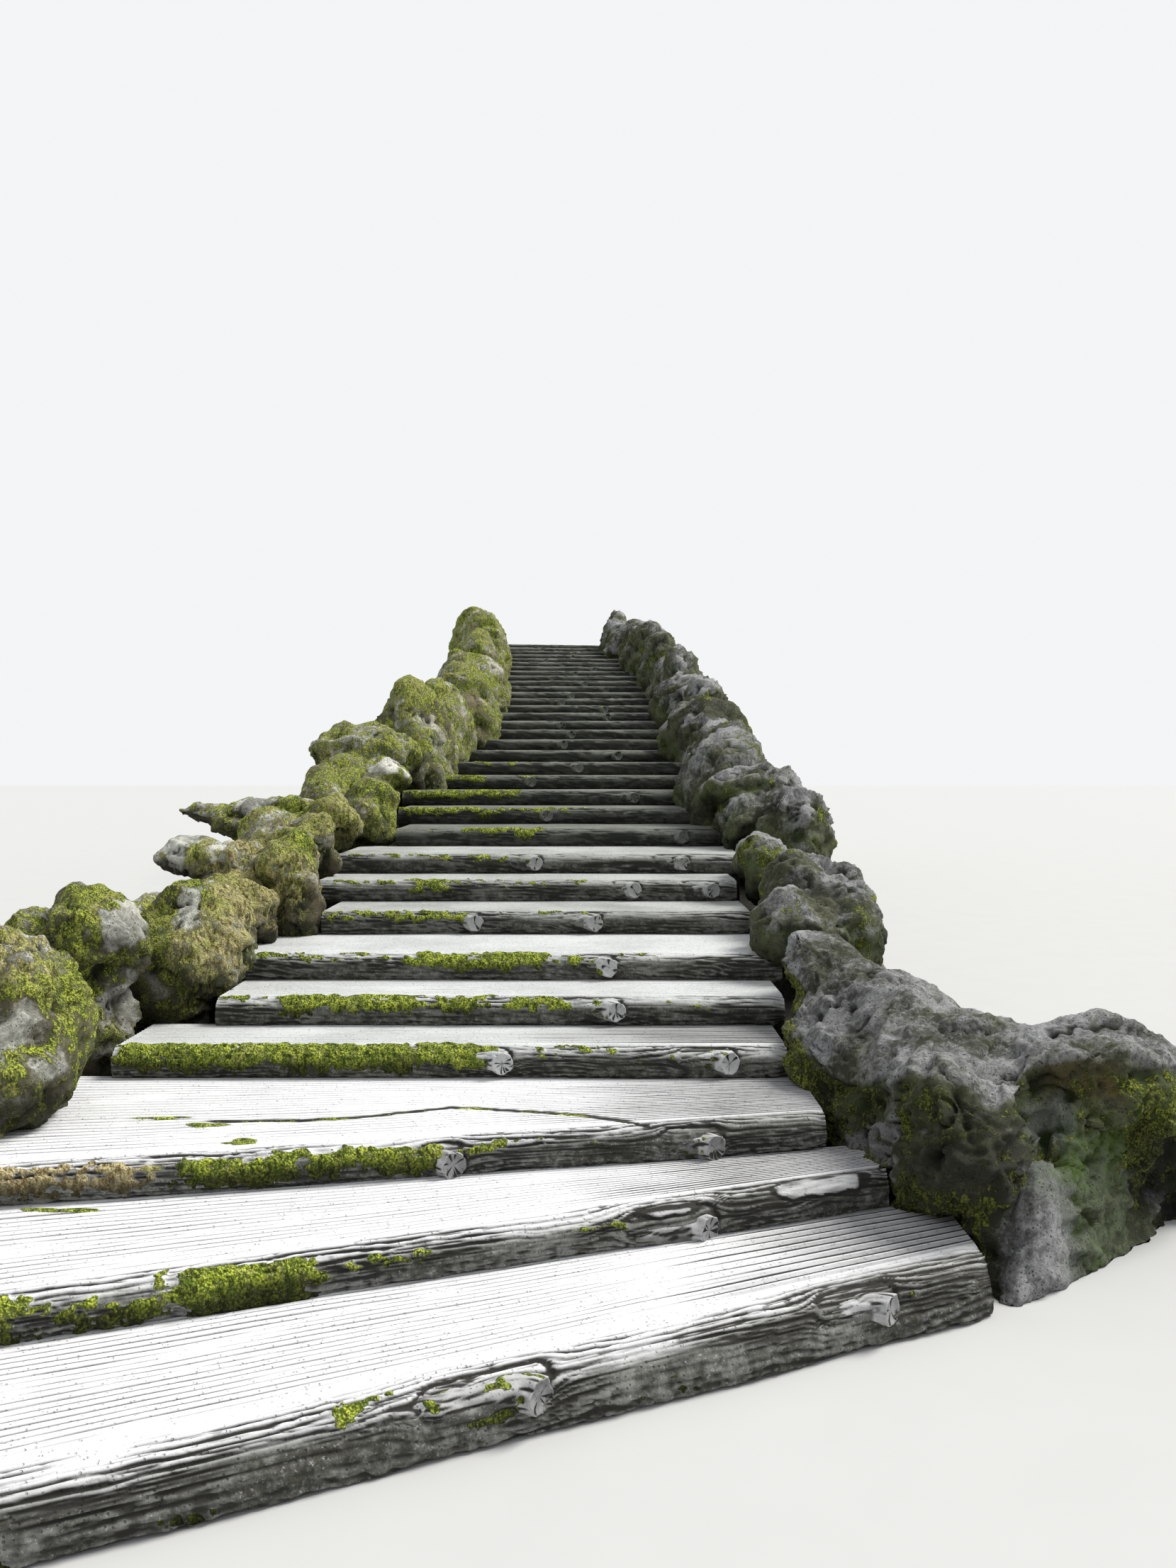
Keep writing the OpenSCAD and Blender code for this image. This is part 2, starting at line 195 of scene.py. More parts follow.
class Feed:
    """A value, colour or place in a material. Sums, products and blends of feeds are nodes of its tree."""

    def __init__(self, tree, node, output=0):
        self.tree = tree
        self.socket = node.outputs[output]

    def into(self, socket):
        self.tree.links.new(self.socket, socket)

    def math(self, operation, other, clamp=False):
        return Feed(self.tree, put(self.tree, "Math", {"operation": operation, "use_clamp": clamp}, i0=self,
                                   i1=other))

    def __add__(self, other):
        return self.math("ADD", other)

    def __sub__(self, other):
        return self.math("SUBTRACT", other)

    def __mul__(self, other):
        return self.math("MULTIPLY", other)

    def ramp(self, low, high, out_low=0.0, out_high=1.0):
        """Eased from out_low, where this value is low, to out_high, where it is high."""
        settings = {"clamp": True, "interpolation_type": "SMOOTHSTEP"}
        return Feed(self.tree, put(self.tree, "MapRange", settings, i0=self, i1=low, i2=high, i3=out_low,
                                   i4=out_high))

    def blend(self, a, b):
        """Colour a where this value is 0, and b where it is 1."""
        return Feed(self.tree, put(self.tree, "Mix", {"data_type": "RGBA"}, i0=self, i6=a, i7=b), 2)

    def scaled(self, factor):
        """This colour or place times one factor."""
        return Feed(self.tree, put(self.tree, "VectorMath", {"operation": "SCALE"}, i0=self, Scale=factor))

    def noise(self, scale, detail, rough):
        return Feed(self.tree, put(self.tree, "TexNoise", Vector=self, Scale=scale, Detail=detail,
                                   Roughness=rough))

    def cells(self, feature, scale):
        return Feed(self.tree, put(self.tree, "TexVoronoi", {"feature": feature}, Vector=self, Scale=scale))


def place_in(tree):
    return Feed(tree, put(tree, "TexCoord"), "Object")


def mark(tree, name):
    return Feed(tree, put(tree, "Attribute", {"attribute_name": name, "attribute_type": "GEOMETRY"}), "Fac")


def open_group(name, given, value):
    """A new shader node group and its one float input."""
    group = bpy.data.node_groups.new(name, "ShaderNodeTree")
    group.interface.new_socket(given, in_out="INPUT", socket_type="NodeSocketFloat").default_value = value
    return group, Feed(group, group.nodes.new("NodeGroupInput"))


def close_group(group, **found):
    for name in found:
        kind = "NodeSocketColor" if name == "Color" else "NodeSocketFloat"
        group.interface.new_socket(name, in_out="OUTPUT", socket_type=kind)
    ends = group.nodes.new("NodeGroupOutput")
    for name, feed in found.items():
        feed.into(ends.inputs[name])


def use_group(tree, group, **feeds):
    """The outputs of a shader node group, by name."""
    made = put(tree, "Group", {"node_tree": group}, **feeds)
    return {found.name: Feed(tree, made, found.name) for found in made.outputs}


def open_finish(name):
    material = bpy.data.materials.new(name)
    material.use_nodes = True
    return material, material.node_tree


def close_finish(tree, tint, roughness, height, distance):
    """Feeds a material's shader with its colour, its roughness and a fine height of its surface."""
    shader = tree.nodes["Principled BSDF"]
    shader.inputs["Specular IOR Level"].default_value = 0.3
    tint.into(shader.inputs["Base Color"])
    if isinstance(roughness, Feed):
        roughness.into(shader.inputs["Roughness"])
    else:
        shader.inputs["Roughness"].default_value = roughness
    if height:
        Feed(tree, put(tree, "Bump", Strength=1.0, Distance=distance,
                       Height=height)).into(shader.inputs["Normal"])


# Grain of old cement and stone, used in every finish: mottling, fine pits and sand grains
mineral, size = open_group("mineral_grain", "Size", 1.0)
place = place_in(mineral).scaled(size)
fleck = place.noise(34.0, 5.0, 0.66)
pits = place.cells("F1", 70.0).ramp(0.30, 0.12) * fleck.ramp(0.46, 0.58)
close_group(mineral, Mottle=place.noise(2.2, 6.0, 0.62) * 0.6 + fleck * 0.4, Pits=pits,
            Grains=place.noise(90.0, 6.0, 0.82),
            Height=fleck * 0.6 + place.noise(160.0, 5.0, 0.7) * 0.35 - pits)

mortar, tree = open_finish("lime_mortar")
grain = use_group(tree, mineral, Size=1.0)
tint = grain["Mottle"].ramp(0.38, 0.62).blend((0.13, 0.12, 0.10, 1), (0.30, 0.28, 0.24, 1))
close_finish(tree, tint, 0.95, grain["Height"], 0.006)

field_stone, tree = open_finish("field_stone")
grain = use_group(tree, mineral, Size=0.8)
tint = mark(tree, "tone").blend((0.20, 0.185, 0.155, 1), (0.46, 0.44, 0.39, 1))
tint = grain["Mottle"].ramp(0.40, 0.60, 0.0, 0.45).blend(tint, (0.16, 0.15, 0.13, 1))
close_finish(tree, tint, 0.9, grain["Height"], 0.006)

for node in ("bed_lower", "bed_middle", "bed_upper"):
    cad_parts[node].data.materials.clear()
    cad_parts[node].data.materials.append(mortar)

stone_points, stone_quads, stone_backs, stone_tone = [], [], [], []
across, upward = np.meshgrid([-1, -0.78, 0.78, 1], [-1, -0.72, 0.72, 1], indexing="ij")
stone_ids = np.arange(across.size).reshape(across.shape)
rim = np.concatenate([stone_ids[:-1, 0], stone_ids[-1, :-1], stone_ids[:0:-1, -1], stone_ids[0, :0:-1]])


def lay_stone(middle, along, up, out, length, height, key):
    """One stone: its middle on the mortar face, the three directions of that face, and its size."""
    s = across * np.sqrt(1 - 0.24 * upward ** 2)
    t = upward * np.sqrt(1 - 0.24 * across ** 2)
    wobble = 0.06 * swell(3, across * 0.9 + key * 3.7, upward * 0.9 + key * 1.9)
    swelling = (np.abs(across) < 1) * (np.abs(upward) < 1) * (0.75 + 0.5 * chance(19, key + stone_ids))
    lift = -STONE_SUNK + swelling * (STONE_SUNK + STONE_PROUD * (0.75 + 0.5 * chance(5, key)))
    lift = lift + 0.008 * swelling * swell(9, across * 1.4 + key * 5.3, upward * 1.2 + key * 2.3)
    parts = [(s * (1 + wobble) * length / 2, along), (t * (1 - wobble) * height / 2, up), (lift, out)]
    points = middle + sum(value.reshape(-1, 1) * direction for value, direction in parts)
    hub = middle - 1.5 * STONE_SUNK * out
    first = sum(len(p) for p in stone_points)
    stone_points.append(np.vstack([points, hub]))
    stone_quads.append(quads_of(stone_ids) + first)
    stone_backs.append(fan_of(rim, stone_ids.size) + first)
    stone_tone.append(np.full(len(points) + 1, chance(7, key)))


def lay_wall(start, end, out, key):
    """Courses of stones between two plan points, from the ground up to the bed's slope."""
    length = np.linalg.norm(end - start)
    along = (end - start) / length
    up = np.array([0.0, 0.0, 1.0])
    z = 0.0
    course = 0
    while z < max(bed_slope(start[1]), bed_slope(end[1])):
        tall = STONE_COURSES[0] + (STONE_COURSES[1] - STONE_COURSES[0]) * chance(11, key * 97 + course)
        s = -0.12 * chance(13, key * 31 + course)
        while s < length - 0.05:
            pick = chance(17, key * 57 + course * 131 + int(s * 40))
            stone = STONE_LENGTHS[0] + (STONE_LENGTHS[1] - STONE_LENGTHS[0]) * pick
            low, high = max(s, 0.0), min(s + stone, length)
            lower_end = low if bed_slope(start[1]) < bed_slope(end[1]) else high
            here = min(tall, bed_slope((start + along * lower_end)[1]) - z)
            if high - low > SMALLEST_STONE[0] and here > SMALLEST_STONE[1]:
                middle = start + along * (low + high) / 2 + up * (z + here / 2)
                lay_stone(middle, along, up, out, high - low - STONE_JOINT, here - STONE_JOINT,
                          key * 1009 + course * 57 + int(s * 30))
            s += stone
        z += tall
        course += 1


def bed_side(side):
    """The plan points of one side of the bed, from the front to the back."""
    face_x = bed_low.x if side < 0 else bed_high.x
    line = [(face_x, bed_low.y), (face_x, bed_high.y)]
    for i in BED_TURNS:
        x = step_box(i)[0 if side < 0 else 1].x + side * BED_MARGIN
        line.append((x, line_y(i, x, SEAT)))
    line.append((x, back_y(STEP_COUNT, x)))
    return [np.array(point + (0.0,)) for point in line]


left_side, right_side = bed_side(-1), bed_side(1)
walls = [(left_side, -1), (right_side, 1), ([left_side[-1], right_side[-1]], -1),
         ([right_side[0], left_side[0]], 1)]
key = 1
for line, facing in walls:
    for start, end in zip(line[:-1], line[1:]):
        along = (end - start) / np.linalg.norm(end - start)
        lay_wall(start, end, facing * np.array([along[1], -along[0], 0.0]), key)
        key += 1
make_piece("bed_rubble_stones", np.vstack(stone_points), [np.vstack(stone_quads), np.vstack(stone_backs)],
           field_stone, "rubble", {"tone": np.concatenate(stone_tone)})


# Steps. Each one is cast in cement: a log with bark, modelled by hand while the cement was soft, and behind
# it a tread that was raked with a comb. Feet and rain have worn the treads pale, and every furrow is
# darkened with dirt and painted shade. The lowest treads are paler still with painted sunlight, and the
# upper steps darker with painted shade.
LOG_RADIUS = {1: 0.084}
LOG_RADIUS_OTHER = 0.070
GROOVE_PITCH = 0.030
GROOVE_DEPTH = 0.0034
GROOVE_START = 0.35
GROOVE_PROFILE = [(0.0, 1.0), (0.12, 0.70), (0.25, 0.05), (0.50, -0.25), (0.78, 0.05), (0.90, 0.55)]
BARK_DEPTH = 0.013
BARK_REACH = {1: 0.075, 2: 0.030, 3: 0.035}
BARK_REACH_OTHER = 0.045
FIRST_GAP = 0.006
FIRST_FLARE = 0.028
WORN_PLACE = 0.25
SINK = 0.010
FIRST_SEAT = 0.085
BLOCK_SINK = 0.004

# Up to which step: the width of the columns of points, the height of the rows, and a stub's sides and rings
COLUMNS = [(1, 0.012), (3, 0.0125), (4, 0.014), (8, 0.019), (13, 0.027), (33, 0.050)]
ROWS = [(1, 0.0046), (3, 0.0049), (4, 0.0052), (8, 0.0070), (13, 0.0095), (33, 0.0160)]
STUB_RINGS = [(4, (44, 26, 18)), (13, (24, 12, 9)), (33, (12, 4, 4))]
COARSE = 3

# Cut branch stubs on each log: place of the cut end across the flight, and length
STUBS = {1: [(-0.12, 0.31), (0.85, 0.24)], 2: [(0.378, 0.28)], 3: [(-0.445, 0.11), (0.44, 0.19)],
         4: [(-0.34, 0.21), (0.565, 0.20)], 5: [(0.124, 0.23)], 6: [(0.10, 0.15)],
         7: [(-0.60, 0.11), (0.04, 0.17)], 8: [(0.27, 0.12), (0.72, 0.17)], 9: [(-0.32, 0.11), (0.59, 0.18)],
         10: [(0.65, 0.19)], 11: [(-0.30, 0.11)], 12: [(0.37, 0.23)], 13: [(-0.48, 0.11)],
         14: [(-0.08, 0.13)],
         15: [(0.29, 0.22)], 16: [(-0.24, 0.12)]}
STUB_RADIUS = 0.044
STUB_DROP = {2: 0.090, 3: 0.076}
STUB_DROP_OTHER = 0.055
STUB_DEEP = 0.034
STUB_BEND = 0.080
STUB_TURN = 66

# Stubs that keep their thickness and one that is mossy, by ten times the step's number plus the stub's place
EVEN_STUBS = (10, 20)
MOSSY_STUB = 10

for i in range(STRAIGHT_COUNT, STEP_COUNT + 1):
    STUBS.setdefault(i, []).append((NOSE[i][0] + 0.35 * np.sin(np.radians(97 * i)), 0.14))

# Bare plates on a log: from and to across the flight, and from and to down the log
PLATES = {2: [(0.14, 0.36, 0.030, 0.075), (0.60, 0.94, 0.004, 0.080)]}

# Moss on the treads: place across the flight and uphill, and reach both ways; and the places along the mossy
# crack in the third tread
TREAD_MOSS = {3: [(-1.32, 1.13, 0.10, 0.030), (-1.14, 0.93, 0.05, 0.05), (-0.93, 0.91, 0.07, 0.02),
                  (-1.50, 1.22, 0.12, 0.02)],
              2: [(-1.62, 0.62, 0.15, 0.02)], 4: [(-1.4, 1.62, 0.18, 0.02), (-1.0, 1.63, 0.12, 0.02)]}
CRACK = [(-1.31, 1.19), (-1.01, 1.20), (-0.84, 1.23), (-0.68, 1.29), (-0.49, 1.37), (-0.36, 1.34),
         (-0.10, 1.28), (0.02, 1.24), (0.15, 1.17), (0.22, 1.12), (0.29, 1.04)]

# Moss on each log: from and to across the flight, how thick, and from and to down the log.
# It starts below the crest of the log.
MOSS_START = {1: 0.0, 2: 0.068, 3: 0.055}
MOSS_START_OTHER = 0.018
MOSS = {1: [(-2.5, -1.15, 0.55, 0.10, 0.22), (-0.62, -0.46, 0.7, 0.02, 0.08),
            (-0.95, -0.75, 0.45, 0.14, 0.22),
            (-0.30, -0.10, 0.5, 0.10, 0.16), (0.15, 0.35, 0.4, 0.12, 0.2), (0.88, 0.98, 0.5, 0.09, 0.13)],
        2: [(-2.4, -1.40, 0.9, -0.02, 0.18), (-1.45, -1.05, 0.75, 0.0, 0.18),
            (-1.10, -0.74, 1.35, -0.03, 0.19),
            (-0.74, -0.40, 0.55, 0.0, 0.12), (-0.44, -0.28, 0.65, 0.0, 0.09), (-0.30, -0.10, 0.4, 0.02, 0.12),
            (-0.08, 0.16, 0.75, 0.0, 0.10), (0.15, 0.42, 0.35, 0.03, 0.12), (0.90, 1.02, 0.6, -0.02, 0.08)],
        3: [(0.14, 0.28, 1.0, -0.14, -0.02), (-2.1, -1.34, 0.85, -0.01, 0.15),
            (-1.34, -0.48, 1.05, -0.005, 0.14),
            (-0.48, -0.08, 0.7, -0.01, 0.09), (-0.08, 0.10, 0.45, 0.02, 0.10), (0.18, 0.36, 0.6, -0.02, 0.05),
            (0.56, 0.85, 0.4, 0.04, 0.12)],
        4: [(-1.90, -0.37, 1.10, -0.02, 0.13), (-0.25, 0.12, 0.5, 0.0, 0.08), (0.10, 0.42, 0.4, 0.02, 0.10),
            (0.60, 0.95, 0.35, 0.04, 0.10)],
        5: [(-1.60, -1.32, 0.6, -0.01, 0.07), (-1.36, -0.70, 0.95, -0.01, 0.11),
            (-0.70, -0.36, 0.85, 0.0, 0.10),
            (-0.36, -0.12, 0.85, 0.0, 0.10), (-0.12, 0.10, 0.45, 0.02, 0.1), (0.25, 0.6, 0.4, 0.03, 0.1)],
        6: [(-1.70, -0.95, 0.65, -0.01, 0.08), (-0.90, -0.15, 0.95, -0.01, 0.12),
            (-0.13, 0.02, 0.7, 0.0, 0.08), (0.15, 0.5, 0.4, 0.0, 0.08)],
        7: [(-1.43, -0.62, 0.7, 0.0, 0.10), (-0.50, 0.0, 0.5, 0.0, 0.06)],
        8: [(-1.56, -1.10, 0.6, 0.0, 0.10), (-1.06, -0.76, 0.85, -0.01, 0.12), (-0.76, 0.02, 0.6, 0.0, 0.07)],
        9: [(-1.50, -0.60, 0.6, 0.0, 0.07), (-0.85, -0.40, 0.6, 0.02, 0.10)],
        10: [(-1.16, -0.90, 0.55, 0.0, 0.06), (-0.88, -0.28, 0.9, -0.01, 0.09)],
        11: [(-1.42, -0.68, 0.95, -0.01, 0.10), (-0.68, 0.06, 0.7, 0.0, 0.08)],
        12: [(-1.48, -0.50, 0.95, -0.01, 0.11)],
        13: [(-1.34, -0.88, 0.9, 0.0, 0.10), (-0.58, -0.26, 0.6, 0.0, 0.07)],
        14: [(-1.34, -0.45, 0.6, 0.0, 0.07)]}


def banded(table, i):
    return next(value for last, value in table if i <= last)


def furrow_lines(u, v, pitch, half_width, seed):
    """Depth from 0 to 1 in furrows along the log, one every pitch, each with its own width and breaks."""
    line = np.round(v / pitch)
    away = np.abs(v - line * pitch)
    width = half_width * (1 + 0.45 * swell(seed, u / 0.14, line * 0.73))
    strength = ease(-0.75, 0.0, swell(seed + 1, u / 0.22, line * 0.61 + 5))
    return strength * np.exp(-(away / width) ** 2)


def furrows(u, v, seed):
    """Depth of modelled bark, 0 on a ridge and 1 in a furrow, and its finest hairs."""
    bend = 0.013 * swell(seed, u / 0.34, v / 0.10) + 0.006 * swell(seed + 1, u / 0.13, v / 0.05)
    main = furrow_lines(u, v + bend, 0.0235, 0.0044, seed + 2)
    minor = furrow_lines(u, v + 1.2 * bend + 0.006, 0.0125, 0.0026, seed + 4)
    dashes = furrow_lines(u * 3.2, v + bend + 0.010, 0.019, 0.0040, seed + 30) * ease(0.02, 0.06, v)
    notch = ease(0.55, 0.80, np.abs(swell(seed + 6, u / 0.035, v / 0.030)))
    hair = swell(seed + 7, u / 0.060, (v + bend) / 0.0060)
    return np.maximum.reduce([main, 0.65 * minor, 0.75 * dashes, 0.4 * notch]), hair


def in_crack(x, y, seed):
    """How far inside the crack of the third step a place is, from 0 to 1."""
    line_x, crack_y = np.array(CRACK).T
    off_line = np.abs(y - np.interp(x, line_x, crack_y) - 0.006 * swell(seed + 36, x / 0.07, x * 0))
    ends = ease(line_x[0] - 0.05, line_x[0], x) * ease(line_x[-1] + 0.03, line_x[-1], x)
    return ease(0.026, 0.008, off_line) * ends


def moss_amount(i, x, v, seed):
    """How thickly moss lies at x across the flight and v round the log, with ragged, hanging edges."""
    start = MOSS_START.get(i, MOSS_START_OTHER)
    amount = np.zeros_like(x)
    hang = 0.030 * swell(seed + 27, x / 0.17, v * 0) + 0.016 * swell(seed + 28, x / 0.045, v * 0)
    shift = x + 0.06 * swell(seed + 41, x / 0.2, v / 0.05)
    for x0, x1, thick, v0, v1 in MOSS.get(i, []):
        across_it = ease(x0 - 0.08, x0 + 0.09, shift) * ease(x1 + 0.08, x1 - 0.09, shift)
        down_it = (ease(v0 + start - 0.03, v0 + start + 0.02, v + 0.7 * hang)
                   * ease(v1 + 0.03, v1 - 0.05, v + hang))
        amount = np.maximum(amount, thick * across_it * down_it)
    return amount


def round_stubs(i, u, v, seed):
    """The bark's strands part round each stub, and a deep furrow rings the stub."""
    stream = v.copy()
    ring = np.zeros_like(u)
    for x_cut, length in STUBS.get(i, []):
        half = length / 2 + 0.016
        along = u - (x_cut / np.cos(turn(i)) - length / 2 + 0.010)
        up = v - STUB_DROP.get(i, STUB_DROP_OTHER) - 0.008
        past_end = np.maximum(np.abs(along) - half + STUB_RADIUS, 0)
        far = np.sqrt(past_end ** 2 + up ** 2) / (STUB_RADIUS + 0.003)
        stream = stream - up * 0.85 / np.maximum(far, 0.7) ** 2 * (far < 4)
        outline = 1.04 + 0.05 * swell(seed + 8, u / 0.04, v / 0.04)
        open_side = np.maximum(ease(-0.2, 0.6, along / half), 0.8 * ease(0.25, -0.35, up / STUB_RADIUS))
        open_side = open_side * ease(-1.25, -0.8, along / half)
        ring = np.maximum(ring, open_side * np.exp(-((far - outline) / 0.14) ** 2))
    return stream, ring


def bare_plates(i, x, v, seed):
    """1 inside the plates from which the bark has come away, with ragged edges."""
    bare = np.zeros_like(x)
    for x0, x1, v0, v1 in PLATES.get(i, []):
        edge = 0.010 * swell(seed + 33, x / 0.07, v * 0) + 0.004 * swell(seed + 38, x / 0.025, v * 0)
        slant = 0.10 * (v - v0)
        taper = 0.018 * np.clip(np.abs(x - (x0 + x1) / 2) / (x1 - x0) * 2, 0, 1) ** 3
        inside = ease(x0 - 0.010, x0 + 0.014, x - slant + edge) * ease(x1 + 0.02, x1 - 0.04, x + 2 * slant)
        inside = (inside * ease(v0 - 0.004, v0 + 0.006, v - taper)
                  * ease(v1 + 0.007, v1 - 0.007, v + edge + taper))
        bare = np.maximum(bare, inside)
    return bare


def raked_tread(i, x, y_front, back_joint, right):
    """The tread from its back joint to the bark, with a row of points for each flank of a groove."""
    top, seed = top_z(i), 100 + 10 * i
    count = max(2, int(round((back_joint - y_front).mean() / GROOVE_PITCH)))
    rows = [(0.0, 0.0, 0, 0)]
    for k in range(count):
        for phase, deep in GROOVE_PROFILE:
            rows.append(((k + phase) / count + GROOVE_START / count, deep, k, k + round(phase)))
    share, profile, index, nearest = (np.array(values)[:, None]
                                      for values in zip(*[row for row in rows if row[0] < 1]))
    x = np.broadcast_to(x, (len(share), len(x)))
    sway = 0.18 * swell(seed + 22, x / 0.6, index * 0.35) + 0.10 * swell(seed + 23, x / 0.22, index * 0.8)
    share_here = share + np.where(share > 0, sway, 0) / count * ease(0, 0.1, 1 - share)
    fade = (0.45 + 0.75 * swell(seed + 24, x / 0.5, index / 3.0)
            + 0.5 * swell(seed + 25, x / 0.12, index * 0.9))
    fade = np.clip(fade + 0.5, 0.30, 1.0) * ease(1.0, 0.95, share)
    fade = fade * (1 - 0.30 * np.exp(-((x - WORN_PLACE) / 0.50) ** 2))
    if i == 1:
        # The first tread narrows to the right, so every second groove runs out there
        runs_out = ease(-0.10, 0.45, x + 0.25 * swell(seed + 53, x * 0, nearest * 0.9))
        fade = fade * (1 - (nearest % 2 == 1) * runs_out)
    groove = profile * fade
    y = back_joint + (y_front - back_joint) * share_here
    wave = 0.0022 * swell(seed + 26, x / 0.5, y / 0.35)
    z = top - GROOVE_DEPTH * groove + wave * ease(0, 0.06, 1 - share) * ease(0, 0.02, share)
    # Painted shadow of the big rock over the right ends of the four lowest treads
    rock_shadow = ease(right - 1.30, right - 0.35, x + 0.15 * swell(seed + 51, x / 0.3, y / 0.2)) * (i < 5)
    # Grooves darkened with dirt and painted shade
    dirt_and_shade = np.clip((0.62 + 0.38 * rock_shadow) * groove + 0.42 * rock_shadow, 0, 1)
    moss = np.zeros_like(y)
    for x0, y0, wide, deep in TREAD_MOSS.get(i, []):
        far = np.hypot((x - x0) / wide, (y - y0) / deep) + 0.5 * swell(seed + 35, x / 0.05, y / 0.03)
        moss = np.maximum(moss, 0.9 * ease(1.2, 0.5, far))
    if i == 3:
        cracked = in_crack(x, y, seed)
        moss = np.maximum(moss, cracked * (0.42 + 0.4 * swell(seed + 37, x / 0.12, x * 0)))
        dirt_and_shade = np.maximum(dirt_and_shade, cracked)
        z = z - 0.005 * cracked
    # Darker towards the tread's back joint
    darker_at_back = np.broadcast_to(0.5 * ease(0.05, 0.0, share), y.shape)
    return y, z + 0.004 * moss, dirt_and_shade, moss, darker_at_back


def stitch(coarse_row, fine_row):
    """Triangles that join a row of points to the next one, which has more points."""
    tris = []
    for k in range(COARSE):
        fine_a, fine_b = fine_row[k:-1:COARSE], fine_row[k + 1::COARSE]
        tris.append(np.stack([fine_a, fine_b, coarse_row[:-1] if k <= COARSE // 2 else coarse_row[1:]], -1))
        if k == COARSE // 2:
            tris.append(np.stack([fine_b, coarse_row[1:], coarse_row[:-1]], -1))
    return np.vstack(tris)


